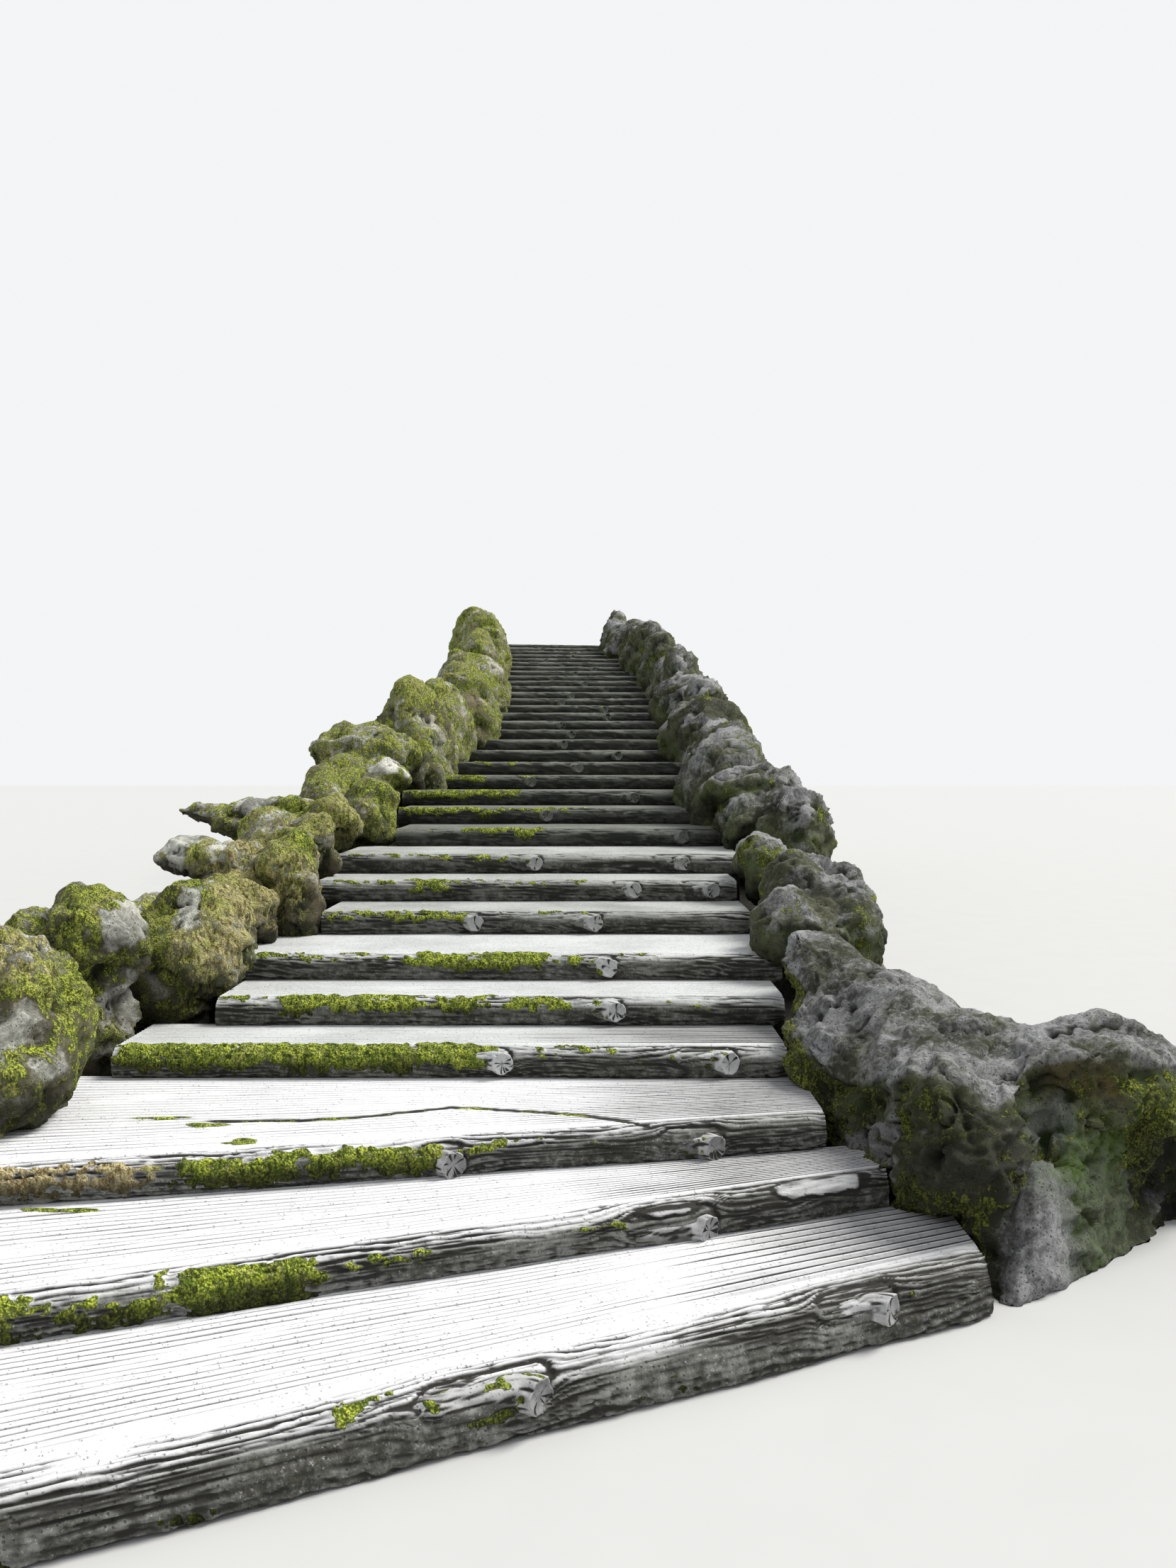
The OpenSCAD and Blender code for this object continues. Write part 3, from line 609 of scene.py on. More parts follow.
def step_mesh(i):
    """Points, faces and marks of one step's casting, without its stubs."""
    r = LOG_RADIUS.get(i, LOG_RADIUS_OTHER)
    top, below = top_z(i), top_z(i - 1)
    left, right = step_box(i)[0].x, step_box(i)[1].x
    lean = np.cos(turn(i))
    fine = int(round((right - left) / lean / banded(COLUMNS, i) / COARSE)) * COARSE
    reach = BARK_REACH.get(i, BARK_REACH_OTHER)
    row_gap = banded(ROWS, i)
    low = FIRST_GAP if i == 1 else below - SINK
    last_angle = -np.arcsin((top - r - low) / r)
    x_fine = np.linspace(left, right, fine + 1)

    # Rows from the tread over the front of the log to its underside: distance back, height and outward slope
    flat_back = np.linspace(r + reach, r, max(3, int(reach / row_gap / 1.3)), endpoint=False)
    flat = np.zeros(len(flat_back))
    angles = np.linspace(np.pi / 2, last_angle, int(r * (np.pi / 2 - last_angle) / row_gap))
    back = np.concatenate([flat_back, r - r * np.cos(angles)])[:, None]
    height = np.concatenate([flat + top, top - r + r * np.sin(angles)])[:, None]
    out_b = np.concatenate([flat, -np.cos(angles)])[:, None]
    out_z = np.concatenate([flat + 1, np.sin(angles)])[:, None]
    v_row = np.concatenate([r - flat_back, r * (np.pi / 2 - angles)])
    v_end = v_row[-1]
    x = np.broadcast_to(x_fine, (len(back), fine + 1))
    u = x / lean
    v = np.broadcast_to(v_row[:, None], x.shape)
    seed = 100 + 10 * i

    # Bark. It is worn smooth towards the tread and crumbles at the log's foot.
    stream, ring = round_stubs(i, u, v, seed)
    depth, hair = furrows(u, stream, seed)
    low_front = ease(0.45, 0.80, v / v_end)
    worn = (ease(-reach, 0.010, v) ** 0.8
            * (0.50 + 0.50 * ease(-0.4, 0.3, swell(seed + 16, u / 0.45, v / 0.10))))
    depth = depth * worn * (1 - 0.25 * low_front)
    bulge = 0.007 * swell(seed + 17, u / 0.55, v / 0.20) * ease(-0.02, 0.06, v)
    crumbs = swell(seed + 18, u / 0.045, v / 0.030) * 0.6 + swell(seed + 19, u / 0.020, v / 0.014) * 0.4
    ragged = (0.006 * low_front * crumbs
              + 0.012 * swell(seed + 9, u / 0.12, v / 0.05) * ease(0.80, 1.0, v / v_end))
    relief = 0.004 * worn - BARK_DEPTH * depth + 0.0012 * hair * worn + bulge + ragged - 0.013 * ring
    if i == 1:
        flare = 1 + 0.35 * swell(seed + 50, u / 0.35, v * 0)
        relief = relief + FIRST_FLARE * ease(0.45, 0.95, v / v_end) * flare

    # Moss lies on the bark in cushions that thin out at their edges and hang over the furrows
    moss = moss_amount(i, x, v, seed)
    clumps = 0.40 * swell(seed + 12, x / 0.12, v / 0.05) + 0.40 * swell(seed + 13, x / 0.045, v / 0.030)
    clumps = clumps + 0.30 * swell(seed + 14, x / 0.018, v / 0.014)
    cover = ease(0.42, 0.62, 0.85 * moss + 0.85 * clumps) * ease(0.04, 0.25, moss)
    dry = 0.9 * ease(-1.30, -1.42, x + 0.05 * swell(seed + 39, x / 0.05, v / 0.03)) * (i == 3)
    cushion = np.sqrt(cover) * (0.004 + 0.011 * np.clip(moss, 0, 1.4) * (0.6 + 0.9 * clumps))
    relief = relief * (1 - 0.6 * cover) + cushion + 0.0045 * swell(seed + 15, x / 0.020, v / 0.012) * cover

    # Bare plates with a dark edge, and a rounded right end
    bare = bare_plates(i, x, v, seed)
    rim = np.clip(4 * bare * (1 - bare), 0, 1)
    depth = depth * (1 - bare) + 0.9 * rim
    relief = relief * (1 - 0.85 * bare) + 0.004 * bare - 0.007 * rim
    end_round = ease(right - 0.09, right, x) ** 2 * (0.016 + 0.014 * swell(seed + 34, v / 0.045, v * 0))
    relief = relief - end_round * (0.3 + 0.7 * ease(0, 0.05, v))
    if i == 3:
        cracked = in_crack(x, line_y(i, x, 0) + back / lean, seed) * ease(0.05, 0.0, v)
        relief = relief - 0.008 * cracked
        depth = np.maximum(depth, cracked)
    fine_y = line_y(i, x, 0) + (back + out_b * relief) / lean
    fine_z = height + out_z * relief
    if i == 1:
        fine_z = np.maximum(fine_z, 0.004)
    # Painted shadow of the big rock over the right ends of the three lowest logs
    rock_shadow = ease(right - 1.1, right - 0.2, x) * (i < 4)
    # Darker down the log towards its foot and underside: dirt, and painted shade under the overhang
    grime_and_shade = (ease(0.015, v_end * 0.75, v)
             * (0.85 + 0.30 * swell(seed + 21, u / 0.35, v / 0.12)) + 0.15 * low_front)
    grime_and_shade = (grime_and_shade + 0.35 * rock_shadow * ease(-reach, 0.0, v)) * (1 - 0.60 * bare)
    # Furrows, stub rings and crumbs, darkened by the finish with dirt and painted shade
    hollow = (depth * 1.1 + 0.95 * ring + 0.22 * np.clip(-hair, 0, 1) * worn
              + 0.3 * low_front * (crumbs < -0.1))
    hollow = np.clip(hollow, 0, 1) + 0.30 * rock_shadow * ease(0.06, -0.01, v)
    hollow = hollow + bare * (0.30 + 0.22 * swell(seed + 52, x / 0.10, v / 0.012))
    hollow = np.clip(hollow, 0, 1) * (1 - cover)

    # Three hidden rows down the block, and the raked tread, with a third of the columns
    x_c = x_fine[::COARSE]
    front_joint = line_y(i, x_c, FIRST_SEAT if i == 1 else SEAT)
    back_joint = back_y(i, x_c)
    bottom_front = bed_slope(front_joint) - BLOCK_SINK if i > 4 else 0 * x_c
    bottom_back = np.minimum(bed_slope(back_joint) - BLOCK_SINK, top - 0.05) if i > 3 else 0 * x_c
    tread_y, tread_z, dirt_and_shade, tread_moss, darker_at_back = raked_tread(i, x_c, line_y(i, x_c, r + reach), back_joint,
                                                                right)
    coarse_y = np.vstack([front_joint, front_joint, back_joint, tread_y])
    coarse_z = np.vstack([0 * x_c + low, bottom_front, bottom_back, tread_z])
    coarse_x = np.broadcast_to(x_c, coarse_y.shape)
    fine_points = np.stack([x, fine_y, fine_z], -1).reshape(-1, 3)
    points = np.vstack([fine_points, np.stack([coarse_x, coarse_y, coarse_z], -1).reshape(-1, 3)])
    fine_ids = np.arange(x.size).reshape(x.shape)
    coarse_ids = x.size + np.arange(coarse_y.size).reshape(coarse_y.shape)
    quads = [quads_of(fine_ids), quads_of(coarse_ids)]
    tris = [stitch(coarse_ids[-1], fine_ids[0]), stitch(coarse_ids[0], fine_ids[-1])[:, ::-1]]

    # Ends of the casting, as rings that shrink to one point behind the log
    for side, column in ((-1, 0), (1, -1)):
        ring_ids = np.concatenate([fine_ids[:, column], coarse_ids[:, column]])
        loop = points[ring_ids]
        hub = np.array([x_fine[column], loop[:, 1].min() + 0.15, top - 0.05])
        for shrink in (0.94, 0.70, 0.35):
            here = hub + (loop - hub) * shrink
            rough = (swell(seed + 40 + side, here[:, 1] / 0.05, here[:, 2] / 0.03)
                     * (0.007 if shrink < 0.9 else 0.0035))
            here[:, 0] = here[:, 0] + side * (rough - 0.004)
            new_ids = len(points) + np.arange(len(loop))
            points = np.vstack([points, here])
            quads.append(tube_of(np.stack([ring_ids, new_ids]))[:, ::side])
            ring_ids = new_ids
        tris.append(fan_of(ring_ids, len(points))[:, ::side])
        points = np.vstack([points, hub])

    def marks_of(on_log, on_block, on_tread, on_ends):
        values = [np.ravel(on_log), np.full(3 * len(x_c), on_block), np.ravel(on_tread)]
        return np.concatenate(values + [np.full(len(points) - sum(len(v) for v in values), on_ends)])

    marks = {
        "hollow": marks_of(hollow, 0.6, dirt_and_shade, 0.4),
        "grime_and_shade": marks_of(np.clip(grime_and_shade, 0, 1), 1.0, darker_at_back, 0.8),
        "moss": marks_of(cover, 0.0, tread_moss, 0.0),
        "bark": marks_of(ease(-reach, 0.0, v), 1.0, 0 * tread_y, 1.0),
        "stub": marks_of(0 * x, 0.0, 0 * tread_y, 0.0),
        "dry": marks_of(dry, 0.0, 0 * tread_y, 0.0),
    }
    return points, np.vstack(quads), np.vstack(tris), marks


def stub_mesh(i, x_cut, length, key):
    """A cut branch that lies along the log and turns out of it, so that its cut face looks forward."""
    sides, body_rings, bend_rings = banded(STUB_RINGS, i)
    last = np.radians(STUB_TURN)
    turned = np.concatenate([np.zeros(body_rings), np.linspace(0, last, bend_rings)])
    run = -STUB_BEND * np.sin(last)
    body = np.linspace(-length, run, body_rings, endpoint=False)
    along = np.concatenate([body, run + STUB_BEND * np.sin(turned[body_rings:])])
    behind = STUB_DEEP - STUB_BEND * (1 - np.cos(turned)) + 0.022 * ease(-length + 0.06, -length, along)
    slender = 0.12 if key in EVEN_STUBS else 0.45
    girth = STUB_RADIUS * (1 - slender * ease(-0.02, -length, along)
                           - 0.15 * ease(-length + 0.03, -length, along))
    angle = np.linspace(0, 2 * np.pi, sides, endpoint=False)
    a, t = np.meshgrid(angle, turned)
    reach = along[:, None]
    knotty = 1 + 0.15 * swell(400 + key, np.cos(a) * 1.5 + 3 * key, np.sin(a) * 1.5 + reach / 0.06)
    grain = (0.0024 * swell(410 + key, a * 3.6, reach / 0.11)
             + 0.0014 * swell(411 + key, a * 8.0, reach / 0.05))
    crack_angle = 0.25 + 0.25 * swell(420 + key, reach / 0.06, reach * 0)
    crack = np.exp(-((a - crack_angle) / 0.07) ** 2) * ease(run + 0.03, run, reach)
    spread = girth[:, None] * knotty + grain - 0.005 * crack
    front = np.cos(a) * spread
    tube = np.stack([reach - front * np.sin(t), behind[:, None] - front * np.cos(t), np.sin(a) * spread])

    # The cut face: rings inwards with a rim, a sunk middle and cracks that run out from the heart
    rows = [tube]
    heart = tube[:, -1].mean(-1)[:, None]
    out = np.array([[np.cos(last)], [-np.sin(last)], [0.0]])
    dark_face = []
    for shrink, lift in ((0.93, 0.003), (0.84, 0.001), (0.66, -0.003), (0.44, -0.004), (0.22, -0.005)):
        split = ease(0.30, 0.60, swell(430 + key, angle * 3.0, angle * 0 + shrink * 0.5)) * (shrink < 0.9)
        rows.append((heart + (tube[:, -1] - heart) * shrink + out * (lift - 0.003 * split))[:, None])
        dark_face.append(0.15 + 0.65 * split)
    px, pb, pz = np.concatenate(rows, 1)
    lean = turn(i)
    x = x_cut + px * np.cos(lean) - pb * np.sin(lean)
    y = line_y(i, x_cut, 0) + px * np.sin(lean) + pb * np.cos(lean)
    z = top_z(i) - STUB_DROP.get(i, STUB_DROP_OTHER) + pz
    grid = np.stack([x, y, z], -1)
    points = np.vstack([grid.reshape(-1, 3), grid[0].mean(0), grid[-1].mean(0)])
    ids = np.arange(x.size).reshape(x.shape)
    tris = np.vstack([fan_of(ids[0], x.size)[:, ::-1], fan_of(ids[-1], x.size + 1)])

    # The three lowest steps' stubs are greyer, and their moss comes and goes
    aged = 1.0 if i < 4 else 0.0
    # Painted shade on the underside of each stub, which leaves its top paler
    below = ease(0.90, -0.10, np.sin(a) + 0.25 * swell(440 + key, a * 1.5, reach / 0.05))
    below = below * ease(run + 0.05, run + 0.01, reach)
    below = np.maximum(below, aged * (0.50 + 0.15 * swell(465 + key, a * 1.5, reach / 0.05)))
    body_dark = np.clip(0.7 * crack + 420 * np.clip(-grain - 0.0003, 0, 1), 0, 1)
    damp_moss = ease(0.10, 0.6, swell(450 + key, a * 1.3, reach / 0.06)
                     + 0.5 * swell(455 + key, a * 3.1, reach / 0.02))
    mossy = damp_moss * (0.75 if chance(460, key) < 0.45 or key == MOSSY_STUB else 0.15)
    on_face = np.zeros(x.size - tube[0].size)
    grime_and_shade = np.concatenate([below.ravel(), on_face, [0.5, 0.2]])
    marks = {"hollow": np.concatenate([0.17 + 0.14 * aged + 0.8 * body_dark.ravel(),
                                       0.10 + 0.24 * aged + np.concatenate(dark_face), [0.3, 0.5]]),
             "grime_and_shade": grime_and_shade, "moss": np.concatenate([mossy.ravel(), on_face, [0, 0]]),
             "bark": grime_and_shade, "stub": 1 - 0.85 * grime_and_shade, "dry": 0 * grime_and_shade}
    return points, tube_of(ids), tris, marks


# Moss, on steps and boulders: the colour of its cushions, the height of its tufts and how its edges fray
moss_group, dryness = open_group("moss_growth", "Dryness", 0.0)
place = place_in(moss_group)
drawn = Feed(moss_group, put(moss_group, "VectorMath", {"operation": "MULTIPLY"}, i0=place,
                             i1=(1.0, 1.0, 0.35)))
tuft, clump = place.cells("SMOOTH_F1", 150.0), place.noise(26.0, 5.0, 0.65)
strand = drawn.noise(55.0, 4.0, 0.7)
fresh = clump.ramp(0.36, 0.60).blend((0.13, 0.19, 0.012, 1), (0.68, 0.78, 0.07, 1))
fresh = tuft.ramp(0.62, 0.25).blend((0.065, 0.10, 0.012, 1), fresh)
fresh = place.noise(120.0, 5.0, 0.75).ramp(0.54, 0.66, 0.0, 0.65).blend(fresh, (0.86, 0.92, 0.26, 1))
fresh = strand.ramp(0.50, 0.38, 0.0, 0.88).blend(fresh, (0.020, 0.031, 0.006, 1))
dried = strand.ramp(0.40, 0.60).blend((0.24, 0.17, 0.07, 1), (0.74, 0.62, 0.36, 1))
patchy = place.noise(5.0, 4.0, 0.6).ramp(0.58, 0.85, 0.0, 0.45)
straw = drawn.noise(34.0, 5.0, 0.75).ramp(0.50, 0.62) * (dryness * 2.4).math("ADD", 0.18, clamp=True)
dry_share = dryness.math("ADD", patchy, clamp=True).math("MAXIMUM", straw)
close_group(moss_group, Color=dry_share.blend(fresh, dried), Edge=(clump + strand) * 0.6 - 0.6,
            Height=clump * 0.6 + tuft.ramp(0.6, 0.0, 0.0, 0.8) + strand * 0.8)


def cement_finish(name, tread_pale, tread_dark, bark_pale, bark_dark, dirt_and_shade):
    """Raked and bark-modelled cement: pale where worn, and dark in furrows and down the front of the log
    with dirt and painted shade. Its moss is darker in painted shade.
    """
    material, tree = open_finish(name)
    grain = use_group(tree, mineral, Size=1.0)
    growth = use_group(tree, moss_group, Dryness=mark(tree, "dry"))
    hollow, grime_and_shade, moss = mark(tree, "hollow"), mark(tree, "grime_and_shade"), mark(tree, "moss")
    mottle = grain["Mottle"]
    uneven = mottle - 0.5
    tread = mottle.ramp(0.36, 0.60).blend(tread_dark, tread_pale)
    bark = mottle.ramp(0.40, 0.58).blend(bark_dark, bark_pale)
    # Darker down the log with dirt and painted shade; the moss below is darker in painted shade
    stain_and_shade = (grime_and_shade + uneven * 0.72).ramp(0.0, 0.62) * mark(tree, "bark")
    tint = stain_and_shade.blend(tread, bark).scaled((stain_and_shade + uneven * 0.6).ramp(0.55, 1.10, 1.0, 0.45))
    tint = (mark(tree, "stub") * 0.30).blend(tint, mottle.ramp(0.40, 0.60).blend(tread_dark, tread_pale))
    tint = (grain["Grains"].ramp(0.44, 0.32) * stain_and_shade.ramp(0.0, 1.0, 0.35, 0.9)).blend(tint, dirt_and_shade)
    tint = (grain["Grains"].ramp(0.56, 0.68) * stain_and_shade.ramp(0.0, 1.0, 0.3, 0.6)).blend(tint, tread_pale)
    tint = (grain["Pits"] * stain_and_shade.ramp(0.0, 1.0, 0.12, 0.6)).blend(tint, dirt_and_shade)
    # Hollows and grooves darkened with dirt and painted shade
    tint = (hollow + uneven * 0.6).ramp(0.12, 0.72).blend(tint, dirt_and_shade)
    covered = (moss + growth["Edge"] * 0.9).ramp(0.36, 0.55)
    in_shade = (grime_and_shade + growth["Edge"] * 0.8).ramp(0.38, 0.95, 1.0, 0.20)
    tint = covered.blend(tint, growth["Color"].scaled(in_shade))
    height = grain["Height"] + covered * growth["Height"] * 3.0
    close_finish(tree, tint, covered.ramp(0.0, 1.0, 0.82, 1.0), height, 0.0035)
    return material


# Four copies of one cement, one for each band of steps: painted sunlight on the three lowest treads, then
# half light, then painted shade, and deep painted shade from the tenth step up
FINISHES = [
    (3, cement_finish("sunlit_cement", (0.82, 0.82, 0.825, 1), (0.68, 0.68, 0.685, 1), (0.50, 0.50, 0.46, 1),
                      (0.080, 0.080, 0.058, 1), (0.024, 0.023, 0.019, 1))),
    (6, cement_finish("half_lit_cement", (0.64, 0.65, 0.64, 1), (0.48, 0.49, 0.48, 1), (0.42, 0.42, 0.37, 1),
                      (0.070, 0.072, 0.050, 1), (0.020, 0.021, 0.016, 1))),
    (9, cement_finish("shaded_cement", (0.46, 0.47, 0.45, 1), (0.30, 0.31, 0.29, 1), (0.36, 0.36, 0.32, 1),
                      (0.060, 0.062, 0.044, 1), (0.018, 0.019, 0.014, 1))),
    (33, cement_finish("deep_shaded_cement", (0.19, 0.20, 0.175, 1), (0.10, 0.105, 0.085, 1), (0.15, 0.155, 0.13, 1),
                       (0.040, 0.044, 0.032, 1), (0.012, 0.014, 0.010, 1)))]
SLOTS = [(13, "cast_step_sunlit"), (33, "cast_step_shaded")]

for i in range(1, STEP_COUNT + 1):
    points, quads, tris, marks = step_mesh(i)
    for number, (x_cut, length) in enumerate(STUBS.get(i, [])):
        stub_points, stub_quads, stub_tris, stub_marks = stub_mesh(i, x_cut, length, 10 * i + number)
        quads = np.vstack([quads, stub_quads + len(points)])
        tris = np.vstack([tris, stub_tris + len(points)])
        points = np.vstack([points, stub_points])
        marks = {name: np.concatenate([marks[name], stub_marks[name]]) for name in marks}
    piece = make_piece("log_step_%02d" % i, points, [quads, tris], banded(FINISHES, i), banded(SLOTS, i),
                       marks)
    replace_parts(piece, "step_%02d" % i)


# Boulders. Rockwork was built up in cement over cores of rubble, wetted and modelled with the trowel into
# folds, hollows and pits, so that it looks like natural limestone. Moss covers the tops and the shaded sides.
LEFT_LUMPS = [
    [(-2.72, -1.10, 0.16, 0.43, 0.52, 0.40), (-2.66, -0.15, 0.26, 0.42, 0.56, 0.43),
     (-2.56, 0.50, 0.32, 0.36, 0.36, 0.42)],
    [(-2.16, 1.22, 0.62, 0.33, 0.36, 0.42), (-2.30, 1.08, 0.34, 0.34, 0.34, 0.36),
     (-1.99, 1.12, 0.58, 0.20, 0.22, 0.18)],
    [(-2.09, 2.13, 0.90, 0.20, 0.24, 0.22), (-2.06, 2.10, 0.58, 0.13, 0.20, 0.24),
     (-2.34, 2.10, 0.66, 0.26, 0.30, 0.36)],
    [(-1.84, 2.52, 0.76, 0.19, 0.26, 0.30), (-1.70, 2.60, 0.76, 0.11, 0.22, 0.20),
     (-2.02, 2.66, 0.68, 0.22, 0.26, 0.34),
     (-1.80, 3.24, 0.89, 0.21, 0.26, 0.16), (-1.68, 3.22, 0.86, 0.10, 0.18, 0.12),
     (-1.80, 2.90, 0.78, 0.16, 0.28, 0.28), (-2.05, 3.15, 0.62, 0.26, 0.34, 0.28)],
    [(-2.05, 3.78, 1.12, 0.33, 0.20, 0.11), (-1.62, 3.68, 1.09, 0.16, 0.22, 0.18),
     (-1.55, 3.52, 0.88, 0.12, 0.16, 0.20), (-1.95, 3.75, 0.82, 0.28, 0.28, 0.30)],
    [(-1.66, 4.38, 1.16, 0.17, 0.24, 0.19), (-2.12, 5.05, 1.30, 0.36, 0.20, 0.13),
     (-1.64, 4.78, 1.27, 0.18, 0.26, 0.18),
     (-1.90, 4.55, 1.00, 0.30, 0.36, 0.34), (-2.00, 5.05, 1.05, 0.30, 0.26, 0.30),
     (-2.42, 5.08, 1.33, 0.24, 0.13, 0.07)],
    [(-1.50, 5.62, 1.32, 0.17, 0.26, 0.24), (-1.54, 6.15, 1.54, 0.19, 0.30, 0.15),
     (-1.80, 6.00, 1.46, 0.28, 0.24, 0.13),
     (-1.85, 5.90, 1.20, 0.30, 0.50, 0.36), (-1.78, 7.00, 1.74, 0.45, 0.32, 0.24),
     (-1.85, 6.70, 1.40, 0.32, 0.52, 0.34)]]
RIGHT_LUMPS = [
    [(1.00, 2.95, 0.80, 0.19, 0.34, 0.20), (1.14, 3.55, 0.90, 0.24, 0.42, 0.26),
     (1.04, 4.20, 1.04, 0.17, 0.38, 0.19), (1.28, 3.60, 0.74, 0.30, 0.80, 0.36)],
    [(1.16, 5.62, 1.46, 0.35, 0.34, 0.20), (1.02, 5.25, 1.24, 0.15, 0.34, 0.20),
     (1.28, 5.25, 1.14, 0.30, 0.70, 0.36)]]
LEFT_STARTS = [-2000, 780, 1690, 2280, 3480, 4150, 5250]
RIGHT_STARTS = [2550, 4500]
LUMP_RINGS, LUMP_SIDES = 40, 64
NEAR_VOXEL, FAR_VOXEL, RIGHT_VOXEL, UPPER_VOXEL = 0.0155, 0.026, 0.022, 0.050
DOME = 0.05

# The large rock at the foot of the flight hangs over the ends of the steps. It was modelled rib by rib, and
# each rib here runs round it from its ridge over the pale top to the edge, down the dark face to the ground
# and up the back: ridge, top, edge, four points of the face, foot, and three of the back. Millimetres.
RIBS = np.array([
    [[1040, 2530, 820], [990, 2520, 800], [955, 2510, 740], [960, 2500, 660], [985, 2500, 560],
     [1000, 2500, 440],
     [1010, 2500, 300], [1020, 2500, -30], [1240, 2540, -30], [1230, 2540, 550], [1130, 2540, 770]],
    [[960, 2400, 885], [910, 2350, 865], [872, 2330, 785], [890, 2330, 700], [930, 2330, 620],
     [940, 2330, 480],
     [940, 2330, 250], [940, 2330, -30], [1300, 2420, -30], [1300, 2440, 560], [1130, 2440, 820]],
    [[1060, 2120, 830], [975, 2090, 765], [905, 2060, 695], [885, 2040, 630], [870, 2030, 560],
     [880, 2020, 460],
     [880, 2020, 200], [880, 2020, -30], [1400, 2200, -30], [1400, 2200, 560], [1230, 2180, 780]],
    [[1120, 1960, 815], [960, 1880, 690], [840, 1880, 605], [805, 1840, 525], [800, 1760, 462],
     [830, 1720, 420],
     [850, 1720, 200], [850, 1720, -30], [1500, 2050, -30], [1500, 2050, 540], [1310, 2030, 760]],
    [[1190, 1840, 775], [1010, 1640, 650], [905, 1560, 500], [890, 1550, 430], [875, 1540, 370],
     [875, 1530, 300],
     [890, 1530, 100], [900, 1530, -30], [1600, 1900, -30], [1590, 1900, 500], [1400, 1890, 720]],
    [[1275, 1690, 760], [1110, 1460, 665], [995, 1310, 515], [980, 1280, 420], [968, 1260, 325],
     [960, 1230, 265],
     [980, 1230, 100], [1000, 1230, -30], [1650, 1850, -30], [1640, 1850, 420], [1440, 1790, 690]],
    [[1305, 1560, 718], [1150, 1260, 655], [1050, 1175, 568], [1035, 1130, 458], [1035, 1075, 353],
     [1027, 1005, 278],
     [1040, 1010, 150], [1080, 1060, -30], [1680, 1780, -30], [1670, 1780, 400], [1480, 1700, 660]],
    [[1370, 1510, 715], [1235, 1210, 663], [1122, 975, 600], [1095, 870, 505], [1072, 830, 378],
     [1080, 850, 257],
     [1130, 920, 165], [1240, 1060, -30], [1720, 1700, -30], [1700, 1700, 400], [1540, 1630, 660]],
    [[1480, 1450, 696], [1341, 1150, 650], [1212, 875, 615], [1183, 740, 517], [1171, 700, 395],
     [1186, 750, 257],
     [1240, 860, 155], [1300, 860, -30], [1780, 1640, -30], [1760, 1640, 400], [1630, 1570, 650]],
    [[1512, 1350, 658], [1427, 1150, 602], [1341, 850, 525], [1331, 760, 470], [1321, 720, 345],
     [1302, 730, 230],
     [1281, 700, 80], [1295, 640, -30], [1830, 1590, -30], [1810, 1590, 400], [1680, 1500, 620]],
    [[1577, 1300, 660], [1530, 1150, 650], [1503, 1050, 625], [1497, 1000, 492], [1510, 980, 394],
     [1420, 760, 335],
     [1395, 680, 182], [1397, 650, -30], [1880, 1560, -30], [1860, 1560, 400], [1720, 1460, 630]],
    [[1711, 1250, 700], [1654, 1100, 672], [1616, 1000, 647], [1615, 1040, 532], [1597, 950, 412],
     [1589, 870, 297],
     [1585, 810, 160], [1656, 890, -30], [1930, 1540, -30], [1920, 1540, 420], [1800, 1420, 670]],
    [[1836, 1250, 720], [1775, 1100, 684], [1747, 1030, 652], [1746, 1000, 540], [1758, 1000, 397],
     [1810, 1080, 230],
     [1848, 1090, 80], [1863, 1078, -30], [1990, 1540, -30], [1990, 1530, 430], [1900, 1410, 690]],
    [[1987, 1250, 665], [1960, 1170, 650], [1945, 1100, 612], [1957, 1100, 466], [1980, 1150, 305],
     [2040, 1250, 124],
     [2050, 1270, 60], [2055, 1290, -30], [2100, 1530, -30], [2100, 1520, 400], [2040, 1400, 640]],
    [[2170, 1340, 590], [2150, 1290, 580], [2150, 1250, 540], [2160, 1240, 430], [2180, 1260, 300],
     [2200, 1290, 150],
     [2210, 1300, 60], [2210, 1310, -30], [2230, 1450, -30], [2240, 1450, 350], [2200, 1400, 560]]]) / 1000


def between(a, b, c, d, t):
    """Smooth curve from b to c at share t, with a before and d after them."""
    return 0.5 * (2 * b + (c - a) * t + (2 * a - 5 * b + 4 * c - d) * t ** 2
                  + (3 * b - a - 3 * c + d) * t ** 3)


